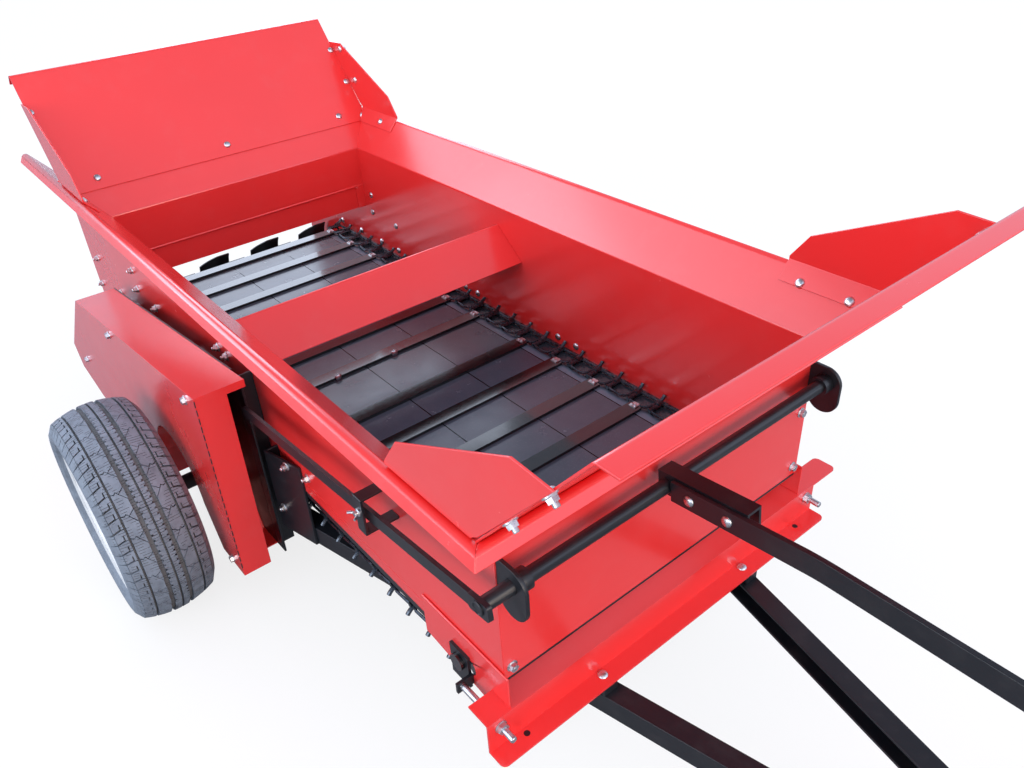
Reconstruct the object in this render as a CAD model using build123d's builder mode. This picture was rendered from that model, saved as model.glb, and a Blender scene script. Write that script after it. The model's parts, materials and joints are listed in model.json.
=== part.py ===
"""Towed, ground-driven topdresser: a flared sheet-steel hopper with a chain-and-slat floor, a rear
paddle beater, two trailer wheels, an A-frame tongue and a hand control across the front.

Millimetres. +X is forward (the way it is towed), +Y is the machine's left, +Z is up. The origin lies
on the ground, midway along the overall length and on the centre line.
"""

import os
from math import atan2, cos, degrees, pi, radians, sin

from build123d import *

os.makedirs("parts", exist_ok=True)

# Overall layout along X
HOPPER_LENGTH = 1737.0  # rear wall to front wall, inside faces
SIDE_TAIL = 470.0  # how far the side walls run on behind the rear wall
TONGUE_REACH = 881.0  # front wall to the hitch pin
HITCH_NOSE = 45.0  # hitch pin to the tip of the clevis
AXLE_FROM_REAR = 589.5  # rear wall to the wheel axle

# Hopper sheet metal
HOPPER_WIDTH = 800.0
SHEET = 4.0
BEND_Z = 800.0  # where the walls turn into the flares
FLARE_RISE = 107.0
FLARE_WIDTH = 90.0
LIP_WIDTH = 17.0
LIP_DROP = 32.0
BEND_R = 8.0
LIP_R = 12.0
SIDE_BOTTOM_Z = 464.0
FRONT_BOTTOM_Z = 474.0
REAR_BOTTOM_Z = 675.0
TAIL_BOTTOM_Z = 270.0
TAIL_FROM_REAR = 60.0  # the deeper tail of a side wall starts this far behind the rear wall

# Spill panels and their corner gussets
PANEL_OVERHANG = 83.0  # panel edge beyond the hopper side
PANEL_BOTTOM_Z = 866.0
PANEL_RISE = 289.0  # bottom edge to top fold
FRONT_PANEL_FLANGE = (46.0, 0.0)  # reach forward and drop of the front panel's folded edge
REAR_PANEL_FLANGE = (24.0, 28.0)  # reach back and drop of the rear panel's folded edge
PANEL_GAP = 1.0  # side clearance between a panel and the flares
GUSSET_BACK = 134.0  # along the rim, from the wall towards the middle of the hopper
GUSSET_HEIGHT = 293.0  # above the bend line

# Metering gate behind the rear wall
GATE_BOTTOM_Z = 600.0
GATE_HEIGHT = 125.0
GATE_GAP = 0.3
GATE_SIDE_GAP = 22.0
GUIDE_LENGTH = 110.0
GUIDE_LAP = 14.0

# Cross brace between the side walls
BRACE_FROM_REAR = 737.0
BRACE_HALF = 102.0
BRACE_RISE = 84.0
BRACE_TOP_Z = 752.0

# Floor and apron
FLOOR_Z = 472.0
BOARD_THICK = 18.0
BOARD_WIDTH = 181.5
EDGE_BOARD_WIDTH = 90.0  # the narrower board along the left wall
BOARD_SEAM = 1.6
BEARER_COUNT = 5
BEARER = 34.0
APRON_RADIUS = 58.0  # chain line round the end rollers
APRON_LINE = 6.0  # chain line above the floor
LINK_COUNT = 55
LINK_HEIGHT = 12.0
LINK_WIDTH = 56.0
LINK_BAR = 7.0
LINK_GAP = 0.4
LANE_GAP = 12.0  # wall to chain
SLAT_WIDTH = 38.0
SLAT_THICK = 8.0
SLAT_LINKS = 2  # links from slat to slat
SPLICE_LINK = 12  # the link that carries the slat behind the long splice interval
SHAFT_R = 17.5
DRIVE_FROM_REAR = 160.0  # rear wall back to the drive roller
IDLER_FROM_FRONT = 118.0  # front wall back to the idler roller
BOARD_END_GAP = 12.0

# Beater
BEATER_FROM_DRIVE = 190.0
BEATER_Z = 335.0
BEATER_R = 115.0
BEATER_TUBE_R = 30.0
PADDLE_ROWS = 4
PADDLES_IN_ROW = 4
PADDLE_WIDTH = 108.0
PADDLE_RAKE = 26.0  # the tip falls by this much across the paddle
PADDLE_THICK = 5.0
PADDLE_SWEEP = 22.0  # how far the tip trails the root
PADDLE_ROOT = 3.0  # sunk into the tube
PADDLE_TIP_GAP = 6.0  # tip inside the beater radius
BEATER_SIDE_GAP = 14.0

# Bearings
BEARING_SIZE = 96.0
BEARING_THICK = 14.0
RUNNING_GAP = 0.05
SHAFT_HOLE_GAP = 5.5
SHAFT_STICK_OUT = 8.0

# Front crossmember, a Z section, and the lower side plates it closes
ZBAR_FROM_FRONT = 18.0
ZBAR_TOP_Z = 417.6
ZBAR_HEIGHT = 75.2
ZBAR_OVERHANG = 59.0  # end of the bar beyond the hopper side
ZBAR_TOP_FLANGE = 50.0
ZBAR_BOTTOM_FLANGE = 42.0
ZBAR_EAR = 83.0
LOWER_PLATE_LENGTH = 235.0
LOWER_PLATE_TOP_Z = 490.0
LOWER_PLATE_REAR_Z = 394.0
LOWER_PLATE_FRONT_Z = 372.0
SLOT_LENGTH = 80.0
SLOT_GAP = 4.0  # idler shaft to the sides of its slot
TAKEUP_WIDTH = 54.0
TAKEUP_THICK = 6.0
TAKEUP_ROD_R = 6.0
ROD_HOLE_GAP = 1.0  # take-up rod to its hole
TAKEUP_ROD_DROP = 24.0

# Wheels
WHEEL_STAND_OFF = 297.0  # hopper side to the middle of the tyre
TYRE_R = 282.0
TYRE_WIDTH = 205.0
TYRE_CROWN = 12.0  # shoulder below the middle of the tread
RIM_R = 178.0
RIM_WIDTH = 152.0
RIM_SHEET = 6.0
RIM_FLANGE = 14.0
HUB_R = 42.0
HUB_LENGTH = 110.0
DISC_OFFSET = 22.0  # wheel disc outboard of the tyre's middle
WHEEL_END_GAP = 0.3  # hub to collar
AXLE_R = 20.0
AXLE_STICK_OUT = 16.0
COLLAR_R = 34.0
COLLAR_LENGTH = 18.0
HANGER_WIDTH = 180.0
HANGER_THICK = 8.0
HANGER_TOP_Z = 590.0
HANGER_FOOT_R = 48.0

# Tongue
TONGUE_TOP_Z = 324.0
TONGUE_HEIGHT = 50.0
TONGUE_FLANGE = 42.0
TONGUE_THICK = 6.0
TONGUE_STAND_OFF = 28.0  # outer face beyond the side wall, at the brackets
TONGUE_HALF_AT_HITCH = 28.0  # outer face from the centre line, carried on to the hitch pin
TONGUE_FROM_AXLE = 317.5  # axle forward to the rear ends of the bars
BAR_END_GAP = 2.0  # bar to the web of its bracket
TONGUE_NOSE_GAP = 95.0  # hitch pin back to the front ends of the bars
TONGUE_BRACKET_LENGTH = 118.0
TONGUE_BRACKET_TOP_Z = 505.0
TONGUE_BRACKET_THICK = 6.0

# Hitch clevis and parking stand
HITCH_PLATE = 12.0
HITCH_PLATE_BACK = 210.0
HITCH_BORE_R = 13.0
STAND_FROM_HITCH = 275.0
STAND_SLEEVE = 62.0
STAND_WALL = 5.0
STAND_GAP = 0.6
STAND_SLEEVE_TOP_Z = 430.0
STAND_SLEEVE_BOTTOM_Z = 236.0
STAND_LEG_TOP_Z = 445.0
STAND_FOOT = 130.0
STAND_FOOT_THICK = 10.0
STAND_PLATE_THICK = 8.0
STAND_PLATE_LENGTH = 110.0

# Drive cover on the right side, as an outline seen from the side: X from the axle, Z from the ground
COVER_STAND_OFF = 48.0  # hopper side to the back plate's outer face
COVER_DEPTH = 112.0
COVER_FRONT_CUT = 42.0  # the front wall stops this far short of the back plate
COVER_SHEET = 3.0
COVER_CORNERS = (
    # X from axle, Z
    (193.0, 184.0),
    (318.0, 185.0),
    (347.0, 718.0),
    (-647.0, 571.0),
    (-987.0, 282.0),
    (-963.0, 201.0),
    (-780.0, 168.0),
    (-193.0, 184.0),
)
COVER_ARCH_R = 141.0  # the cover clears the axle by this much
COVER_ARCH_Z = 306.0
COVER_BACK_SHEET = 4.0
STANDOFF_R = 10.0
STANDOFFS = ((192.0, 560.0), (-208.0, 540.0), (-538.0, 500.0))  # X from axle, Z
POST_FROM_AXLE = 270.0
POST_WIDTH = 40.0
POST_TOP_Z = 686.0
POST_BOTTOM_Z = 186.0
POST_SHEET = 5.0

# Hand control across the front
CONTROL_FROM_FRONT = 39.0
CONTROL_Z = 725.0
CONTROL_R = 13.0
EAR_INSET = 2.0  # ear in from the hopper side
EAR_THICK = 8.0
EAR_R = 34.0
EAR_DROP = 34.0
COLLAR_WIDTH = 22.0
ARM_POST_GAP = 6.0  # side arm to the cover post
SIDE_ARM_THICK = 8.0
SIDE_ARM_HEIGHT = 27.0
SIDE_ARM_REACH = 850.0
SIDE_ARM_DROP = 93.0
LEVER_Y = -43.0
LEVER_CHANNEL_LENGTH = 185.0
LEVER_CHANNEL_WIDTH = 34.0
LEVER_CHANNEL_HEIGHT = 44.0
LEVER_CHANNEL_SHEET = 5.0
LEVER_RISE = 0.10
HANDLE_LENGTH = 800.0
HANDLE_HEIGHT = 40.0
HANDLE_THICK = 10.0
GUIDE_FROM_CONTROL = 330.0
ARM_GUIDE_LENGTH = 26.0
ARM_GUIDE_GAP = 6.0
ARM_GUIDE_TRAVEL = 22.0
ARM_GUIDE_SHEET = 5.0

# Worked out from the sizes above
OVERALL_LENGTH = SIDE_TAIL + HOPPER_LENGTH + TONGUE_REACH + HITCH_NOSE
TAIL_X = -OVERALL_LENGTH / 2
REAR_X = TAIL_X + SIDE_TAIL
FRONT_X = REAR_X + HOPPER_LENGTH
HITCH_X = FRONT_X + TONGUE_REACH
AXLE_X = REAR_X + AXLE_FROM_REAR
AXLE_Z = TYRE_R
HALF = HOPPER_WIDTH / 2
OUTER = HALF + SHEET
RIM_Z = BEND_Z + FLARE_RISE
FLARE_Y = HALF + FLARE_WIDTH
LIP_Y = FLARE_Y + LIP_WIDTH
LIP_Z = RIM_Z - LIP_DROP
FLARE_LEAN = FLARE_WIDTH / FLARE_RISE
CORNER_REACH = FLARE_WIDTH + LIP_WIDTH + LIP_R
PANEL_HALF = HALF + PANEL_OVERHANG
PANEL_TOP_Z = PANEL_BOTTOM_Z + PANEL_RISE
DRIVE_X = REAR_X - DRIVE_FROM_REAR
IDLER_X = FRONT_X - IDLER_FROM_FRONT
CHAIN_Z = FLOOR_Z + APRON_LINE
SHAFT_Z = CHAIN_Z - APRON_RADIUS
ROLLER_R = APRON_RADIUS - LINK_HEIGHT / 2
LANE_Y = HALF - LANE_GAP - LINK_WIDTH / 2
SLAT_HALF = LANE_Y - LINK_WIDTH / 2
SLAT_RISE = SLAT_THICK / 2 - APRON_LINE
BEATER_X = DRIVE_X - BEATER_FROM_DRIVE
WHEEL_Y = HALF + WHEEL_STAND_OFF
ZBAR_X = FRONT_X + ZBAR_FROM_FRONT
ZBAR_LENGTH = HOPPER_WIDTH + 2 * ZBAR_OVERHANG
ZBAR_BOTTOM_Z = ZBAR_TOP_Z - ZBAR_HEIGHT
TONGUE_BOTTOM_Z = TONGUE_TOP_Z - TONGUE_HEIGHT
BRACKET_X = AXLE_X + TONGUE_FROM_AXLE
TONGUE_SLOPE = (OUTER + TONGUE_STAND_OFF - TONGUE_HALF_AT_HITCH) / (HITCH_X - BRACKET_X)
TONGUE_ANGLE = degrees(atan2(TONGUE_SLOPE, 1))
STAND_X = HITCH_X - STAND_FROM_HITCH
CONTROL_X = FRONT_X + CONTROL_FROM_FRONT
COVER_TOP_INNER_Y = HALF + COVER_STAND_OFF
COVER_FRONT_INNER_Y = COVER_TOP_INNER_Y + COVER_FRONT_CUT
SIDE_ARM_Y = COVER_TOP_INNER_Y + ARM_POST_GAP + SIDE_ARM_THICK / 2
EAR_Y = HALF - EAR_INSET


def save(piece, name):
    """Label one finished piece and write it as its own STEP file."""
    piece.part.label = name
    export_step(piece.part, f"parts/{name}.step")


def save_pair(left_piece, name):
    """Write a piece made on the left side and its mirror image on the right."""
    save(left_piece, f"{name}_left")
    with BuildPart() as right_piece:
        mirror(left_piece.part, about=Plane.XZ)
    save(right_piece, f"{name}_right")


def flare_x(wall_x, outward, height):
    """X of a leaning end face at a height, from the wall it grows out of; outward is +1 or -1."""
    return wall_x + outward * (height - BEND_Z) * FLARE_LEAN


def tongue_y(x):
    """Distance of a tongue bar's outer face from the centre line."""
    return TONGUE_HALF_AT_HITCH + (HITCH_X - x) * TONGUE_SLOPE


# Side walls: one bent sheet each, mitred where it meets the front sheet
with BuildPart() as hopper_side:
    with BuildSketch(Plane.YZ.offset(TAIL_X)):
        with BuildLine():
            FilletPolyline(
                (HALF, SIDE_BOTTOM_Z),
                (HALF, BEND_Z),
                (FLARE_Y, RIM_Z),
                (LIP_Y, LIP_Z),
                radius=(BEND_R, LIP_R),
            )
            offset(amount=SHEET, side=Side.RIGHT)
        make_face()
    extrude(amount=FRONT_X + CORNER_REACH - TAIL_X)
    with BuildSketch(Plane.XY):
        with BuildLine():
            Polyline(
                (FRONT_X - SHEET, HALF - SHEET),
                (FRONT_X + 2 * CORNER_REACH, HALF + 2 * CORNER_REACH),
                (FRONT_X + 2 * CORNER_REACH, HALF - SHEET),
                close=True,
            )
        make_face()
    extrude(amount=RIM_Z + SHEET, mode=Mode.SUBTRACT)
    with BuildSketch(Plane.XZ.offset(-OUTER)):
        with BuildLine():
            Polyline(
                (TAIL_X, SIDE_BOTTOM_Z + SHEET),
                (TAIL_X, TAIL_BOTTOM_Z + SHEET * 10),
                (TAIL_X + SHEET * 10, TAIL_BOTTOM_Z),
                (REAR_X - TAIL_FROM_REAR - SHEET * 10, TAIL_BOTTOM_Z),
                (REAR_X - TAIL_FROM_REAR, SIDE_BOTTOM_Z),
                (REAR_X - TAIL_FROM_REAR, SIDE_BOTTOM_Z + SHEET),
                close=True,
            )
        make_face()
    extrude(amount=SHEET)
    with BuildSketch(Plane.XZ.offset(-OUTER - SHEET)):
        with Locations((BEATER_X, BEATER_Z), (DRIVE_X, SHAFT_Z)):
            Circle(SHAFT_R + SHAFT_HOLE_GAP)
    extrude(amount=SHEET * 3, mode=Mode.SUBTRACT)
save_pair(hopper_side, "hopper_side")

# Front wall with its flare and rolled rim, mitred at both ends
with BuildPart() as hopper_front:
    with BuildSketch(Plane.XZ.offset(-FLARE_Y - CORNER_REACH)):
        with BuildLine():
            FilletPolyline(
                (FRONT_X, FRONT_BOTTOM_Z),
                (FRONT_X, BEND_Z),
                (FRONT_X + FLARE_WIDTH, RIM_Z),
                (FRONT_X + FLARE_WIDTH + LIP_WIDTH, LIP_Z),
                radius=(BEND_R, LIP_R),
            )
            offset(amount=SHEET, side=Side.RIGHT)
        make_face()
    extrude(amount=2 * (FLARE_Y + CORNER_REACH))
    for side in (1, -1):
        with BuildSketch(Plane.XY):
            with BuildLine():
                Polyline(
                    (FRONT_X - SHEET, side * (HALF - SHEET)),
                    (FRONT_X + 3 * CORNER_REACH, side * (HALF + 3 * CORNER_REACH)),
                    (FRONT_X - SHEET, side * (HALF + 3 * CORNER_REACH)),
                    close=True,
                )
            make_face()
        extrude(amount=RIM_Z + SHEET, mode=Mode.SUBTRACT)
save(hopper_front, "hopper_front")

# Rear wall between the side walls, leaning back above the bend line
with BuildPart() as hopper_rear:
    with BuildSketch(Plane.XZ.offset(-FLARE_Y)):
        with BuildLine():
            FilletPolyline(
                (REAR_X, REAR_BOTTOM_Z),
                (REAR_X, BEND_Z),
                (flare_x(REAR_X, -1, RIM_Z), RIM_Z),
                radius=BEND_R,
            )
            offset(amount=SHEET, side=Side.LEFT)
        make_face()
    extrude(amount=2 * FLARE_Y)
    with BuildSketch(Plane.YZ.offset(TAIL_X)):
        with BuildLine():
            Polyline(
                (-HALF, SIDE_BOTTOM_Z),
                (-HALF, BEND_Z),
                (-FLARE_Y, RIM_Z),
                (FLARE_Y, RIM_Z),
                (HALF, BEND_Z),
                (HALF, SIDE_BOTTOM_Z),
                close=True,
            )
        make_face()
    extrude(amount=HOPPER_LENGTH + SIDE_TAIL, mode=Mode.INTERSECT)
save(hopper_rear, "hopper_rear")

# Spill panels: flat sheets that carry the end flares on upwards, with a folded top edge
for end_name, wall_x, outward, (flange_reach, flange_drop) in (
    ("front", FRONT_X, 1, FRONT_PANEL_FLANGE),
    ("rear", REAR_X, -1, REAR_PANEL_FLANGE),
):
    with BuildPart() as spill_panel:
        with BuildSketch(Plane.XZ.offset(-PANEL_HALF)):
            with BuildLine():
                FilletPolyline(
                    (flare_x(wall_x, outward, PANEL_BOTTOM_Z), PANEL_BOTTOM_Z),
                    (flare_x(wall_x, outward, PANEL_TOP_Z), PANEL_TOP_Z),
                    (flare_x(wall_x, outward, PANEL_TOP_Z) + outward * flange_reach, PANEL_TOP_Z - flange_drop),
                    radius=BEND_R,
                )
                offset(amount=SHEET, side=Side.LEFT if outward > 0 else Side.RIGHT)
            make_face()
        extrude(amount=2 * PANEL_HALF)
        with BuildSketch(Plane.YZ.offset(TAIL_X)):
            with BuildLine():
                Polyline(
                    (-HALF + PANEL_GAP, BEND_Z),
                    (-PANEL_HALF + PANEL_GAP, BEND_Z + (PANEL_HALF - HALF) / FLARE_LEAN),
                    (-PANEL_HALF + PANEL_GAP, PANEL_TOP_Z + 2 * SHEET),
                    (PANEL_HALF - PANEL_GAP, PANEL_TOP_Z + 2 * SHEET),
                    (PANEL_HALF - PANEL_GAP, BEND_Z + (PANEL_HALF - HALF) / FLARE_LEAN),
                    (HALF - PANEL_GAP, BEND_Z),
                    close=True,
                )
            make_face()
        extrude(amount=OVERALL_LENGTH, mode=Mode.INTERSECT)
    save(spill_panel, f"spill_panel_{end_name}")

    # Corner gussets: bent along the flare, standing at the panel's edge
    with BuildPart() as gusset:
        with BuildSketch(Plane.YZ.offset(TAIL_X)):
            with BuildLine():
                Polyline(
                    (HALF + (PANEL_BOTTOM_Z - BEND_Z) * FLARE_LEAN, PANEL_BOTTOM_Z),
                    (PANEL_HALF + SHEET, BEND_Z + (PANEL_HALF + SHEET - HALF) / FLARE_LEAN),
                    (PANEL_HALF + SHEET, BEND_Z + GUSSET_HEIGHT),
                )
                offset(amount=SHEET, side=Side.LEFT)
            make_face()
        extrude(amount=OVERALL_LENGTH)
        with BuildSketch(Plane.XZ.offset(-PANEL_HALF - SHEET)):
            low_front = flare_x(0, 1, PANEL_BOTTOM_Z) - 3 * SHEET
            rim_front = flare_x(0, 1, RIM_Z)
            with BuildLine():
                Polyline(
                    *[
                        (wall_x + outward * run, height)
                        for run, height in (
                            (-GUSSET_BACK, PANEL_BOTTOM_Z - SHEET),
                            (-GUSSET_BACK, RIM_Z + SHEET),
                            (-GUSSET_BACK * 0.7, RIM_Z + GUSSET_HEIGHT * 0.2),
                            (GUSSET_HEIGHT * 0.58, BEND_Z + GUSSET_HEIGHT),
                            (flare_x(0, 1, BEND_Z + GUSSET_HEIGHT - SHEET), BEND_Z + GUSSET_HEIGHT - SHEET),
                            (rim_front, RIM_Z + 2 * SHEET),
                            (rim_front - 3 * SHEET, RIM_Z),
                            (low_front, PANEL_BOTTOM_Z - SHEET),
                        )
                    ],
                    close=True,
                )
            make_face()
        extrude(amount=PANEL_HALF, mode=Mode.INTERSECT)
    save_pair(gusset, f"gusset_{end_name}")

# Metering gate behind the rear wall, and the two guides that hold it
GATE_X = REAR_X - SHEET - GATE_GAP
GATE_HALF = HALF - GATE_SIDE_GAP
with BuildPart() as gate:
    with BuildSketch(Plane.XY.offset(GATE_BOTTOM_Z)):
        with Locations((GATE_X - SHEET / 2, 0)):
            Rectangle(SHEET, 2 * GATE_HALF)
    extrude(amount=GATE_HEIGHT)
save(gate, "gate")

with BuildPart() as gate_guides:
    for side in (1, -1):
        with BuildSketch(Plane.XY.offset(REAR_BOTTOM_Z)):
            with BuildLine():
                Polyline(
                    (REAR_X - SHEET, side * HALF),
                    (REAR_X - SHEET, side * (GATE_HALF + GATE_GAP)),
                    (GATE_X - SHEET - GATE_GAP, side * (GATE_HALF + GATE_GAP)),
                    (GATE_X - SHEET - GATE_GAP, side * (GATE_HALF - GUIDE_LAP)),
                    (GATE_X - 2 * SHEET - GATE_GAP, side * (GATE_HALF - GUIDE_LAP)),
                    (GATE_X - 2 * SHEET - GATE_GAP, side * HALF),
                    close=True,
                )
            make_face()
        extrude(amount=GUIDE_LENGTH)
save(gate_guides, "gate_guides")

# Cross brace: an inverted V of sheet from wall to wall
BRACE_X = REAR_X + BRACE_FROM_REAR
with BuildPart() as brace:
    with BuildSketch(Plane.XZ.offset(-HALF)):
        with BuildLine():
            FilletPolyline(
                (BRACE_X - BRACE_HALF, BRACE_TOP_Z - BRACE_RISE),
                (BRACE_X, BRACE_TOP_Z),
                (BRACE_X + BRACE_HALF, BRACE_TOP_Z - BRACE_RISE),
                radius=BEND_R,
            )
            offset(amount=SHEET, side=Side.RIGHT)
        make_face()
    extrude(amount=HOPPER_WIDTH)
save(brace, "brace")

# Floor boards lengthwise, on cross bearers between two side rails
BOARD_REAR_X = DRIVE_X + APRON_RADIUS + BOARD_END_GAP
BOARD_FRONT_X = IDLER_X - APRON_RADIUS - BOARD_END_GAP
BOARD_LENGTH = BOARD_FRONT_X - BOARD_REAR_X
with BuildPart() as floor_boards:
    left_edge = HALF
    width = EDGE_BOARD_WIDTH
    while left_edge > -HALF:
        right_edge = max(left_edge - width, -HALF)
        with BuildSketch(Plane.XY.offset(FLOOR_Z - BOARD_THICK)):
            with Locations((BOARD_REAR_X + BOARD_LENGTH / 2, (left_edge + right_edge) / 2)):
                Rectangle(BOARD_LENGTH, left_edge - right_edge - BOARD_SEAM)
        extrude(amount=BOARD_THICK)
        left_edge, width = right_edge, BOARD_WIDTH
save(floor_boards, "floor_boards")

BEARER_Z = FLOOR_Z - BOARD_THICK
BEARER_PITCH = (BOARD_LENGTH - BEARER) / (BEARER_COUNT - 1)
RAIL_REAR_X = REAR_X - TAIL_FROM_REAR
with BuildPart() as floor_bearers:
    for number in range(BEARER_COUNT):
        bearer_x = BOARD_REAR_X + number * BEARER_PITCH
        with BuildSketch(Plane.XZ.offset(-HALF)):
            with BuildLine():
                Polyline(
                    (bearer_x, BEARER_Z),
                    (bearer_x + BEARER, BEARER_Z),
                    (bearer_x + BEARER, BEARER_Z - SHEET),
                    (bearer_x + SHEET, BEARER_Z - SHEET),
                    (bearer_x + SHEET, BEARER_Z - BEARER),
                    (bearer_x, BEARER_Z - BEARER),
                    close=True,
                )
            make_face()
        extrude(amount=HOPPER_WIDTH)
save(floor_bearers, "floor_bearers")

with BuildPart() as floor_rail:
    with BuildSketch(Plane.YZ.offset(RAIL_REAR_X)):
        with Locations((HALF + SHEET / 2, (SIDE_BOTTOM_Z + BEARER_Z - BEARER) / 2)):
            Rectangle(SHEET, SIDE_BOTTOM_Z - BEARER_Z + BEARER)
    extrude(amount=BOARD_FRONT_X - RAIL_REAR_X)
save_pair(floor_rail, "floor_rail")

# Apron: two chains round the end rollers, with slats between them
RUN = IDLER_X - DRIVE_X
ARC = pi * APRON_RADIUS
LOOP = 2 * RUN + 2 * ARC
LINK_PITCH = LOOP / LINK_COUNT


def loop_location(travel, y):
    """Place on the chain line: X follows the chain, Y is the machine's left, Z faces out of the loop."""
    travel = travel % LOOP
    if travel < RUN:
        x, z, turn = DRIVE_X + travel, CHAIN_Z, 0.0
    elif travel < RUN + ARC:
        turn = (travel - RUN) / APRON_RADIUS
        x = IDLER_X + APRON_RADIUS * sin(turn)
        z = SHAFT_Z + APRON_RADIUS * cos(turn)
    elif travel < 2 * RUN + ARC:
        x, z, turn = IDLER_X - (travel - RUN - ARC), SHAFT_Z - APRON_RADIUS, pi
    else:
        turn = pi + (travel - 2 * RUN - ARC) / APRON_RADIUS
        x = DRIVE_X + APRON_RADIUS * sin(turn)
        z = SHAFT_Z + APRON_RADIUS * cos(turn)
    return Location((x, y, z), (0, degrees(turn), 0))


HALF_LINK = (LINK_PITCH - LINK_GAP) / 2
with BuildPart() as link:
    with BuildSketch(Plane.XY.offset(-LINK_HEIGHT / 2)):
        with BuildLine():
            Polyline(
                (-HALF_LINK, -LINK_WIDTH / 2),
                (HALF_LINK, -LINK_WIDTH / 2),
                (HALF_LINK, LINK_WIDTH / 2),
                (-HALF_LINK, LINK_WIDTH / 2),
                (-HALF_LINK, LINK_WIDTH / 2 - LINK_BAR),
                (HALF_LINK - 2 * LINK_BAR, LINK_WIDTH / 2 - LINK_BAR),
                (HALF_LINK - 2 * LINK_BAR, LINK_BAR - LINK_WIDTH / 2),
                (-HALF_LINK, LINK_BAR - LINK_WIDTH / 2),
                close=True,
            )
        make_face()
    extrude(amount=LINK_HEIGHT)

with BuildPart() as apron_chains:
    for side in (1, -1):
        with Locations(*[loop_location(n * LINK_PITCH, side * LANE_Y) for n in range(LINK_COUNT)]):
            add(link.part)
save(apron_chains, "apron_chains")

slat_links = [SPLICE_LINK + n for n in range(SLAT_LINKS + 1, LINK_COUNT + 1, SLAT_LINKS)]
with BuildPart() as apron_slats:
    for number in slat_links:
        with Locations(loop_location(number * LINK_PITCH, 0) * Location((0, 0, SLAT_RISE))):
            Box(SLAT_WIDTH, 2 * SLAT_HALF, SLAT_THICK)
save(apron_slats, "apron_slats")


def roller(x, shaft_half):
    """End roller of the apron with its shaft, lying across the machine."""
    with BuildPart() as piece:
        with Locations((x, 0, SHAFT_Z)):
            Cylinder(ROLLER_R, 2 * LANE_Y + LINK_WIDTH, rotation=(90, 0, 0))
            Cylinder(SHAFT_R, 2 * shaft_half, rotation=(90, 0, 0))
    return piece


save(roller(DRIVE_X, OUTER + BEARING_THICK + SHAFT_STICK_OUT), "drive_roller")
save(roller(IDLER_X, OUTER + SHEET + TAKEUP_THICK + SHAFT_STICK_OUT), "idler_roller")

# Beater: a tube on a shaft, with rows of curved paddles whose tips are raked, set in turn from row to row
BEATER_HALF = HALF - BEATER_SIDE_GAP
PADDLE_PITCH = 2 * BEATER_HALF / PADDLES_IN_ROW
PADDLE_BEND_R = (BEATER_R - BEATER_TUBE_R) * 1.2
PADDLE_HALF = PADDLE_WIDTH / 2
with BuildPart() as paddle:
    with BuildSketch(Plane.XZ.offset(-PADDLE_HALF)):
        with BuildLine():
            RadiusArc(
                (0, BEATER_TUBE_R - PADDLE_ROOT),
                (PADDLE_SWEEP, BEATER_R - PADDLE_TIP_GAP),
                PADDLE_BEND_R,
            )
            offset(amount=PADDLE_THICK, side=Side.LEFT)
        make_face()
    extrude(amount=PADDLE_WIDTH)
    with BuildSketch(Plane.YZ.offset(-BEATER_R)):
        with BuildLine():
            Polyline((-PADDLE_HALF, BEATER_R - PADDLE_RAKE), (-PADDLE_HALF, 0), (PADDLE_HALF, 0), (PADDLE_HALF, BEATER_R))
            ThreePointArc(
                (PADDLE_HALF, BEATER_R),
                (-PADDLE_HALF / 4, BEATER_R - PADDLE_RAKE / 3),
                (-PADDLE_HALF, BEATER_R - PADDLE_RAKE),
            )
        make_face()
    extrude(amount=2 * BEATER_R, mode=Mode.INTERSECT)

paddle_places = [
    Location(
        (BEATER_X, (place + 0.5) * PADDLE_PITCH - BEATER_HALF + PADDLE_PITCH * (0.25 - 0.5 * (row % 2)), BEATER_Z),
        (0, 360 / PADDLE_ROWS * row, 0),
    )
    for row in range(PADDLE_ROWS)
    for place in range(PADDLES_IN_ROW)
]
with BuildPart() as beater:
    with Locations((BEATER_X, 0, BEATER_Z)):
        Cylinder(BEATER_TUBE_R, 2 * BEATER_HALF, rotation=(90, 0, 0))
        Cylinder(SHAFT_R, 2 * (OUTER + BEARING_THICK + SHAFT_STICK_OUT), rotation=(90, 0, 0))
    with Locations(*paddle_places):
        add(paddle.part)
save(beater, "beater")

# Flange bearings of the beater and the drive roller, on the side walls
with BuildPart() as bearings:
    with BuildSketch(Plane.XZ.offset(-OUTER - BEARING_THICK)):
        with Locations((BEATER_X, BEATER_Z), (DRIVE_X, SHAFT_Z)):
            RectangleRounded(BEARING_SIZE, BEARING_SIZE, BEARING_SIZE / 4)
            Circle(SHAFT_R + RUNNING_GAP, mode=Mode.SUBTRACT)
    extrude(amount=BEARING_THICK)
save_pair(bearings, "shaft_bearings")

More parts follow.
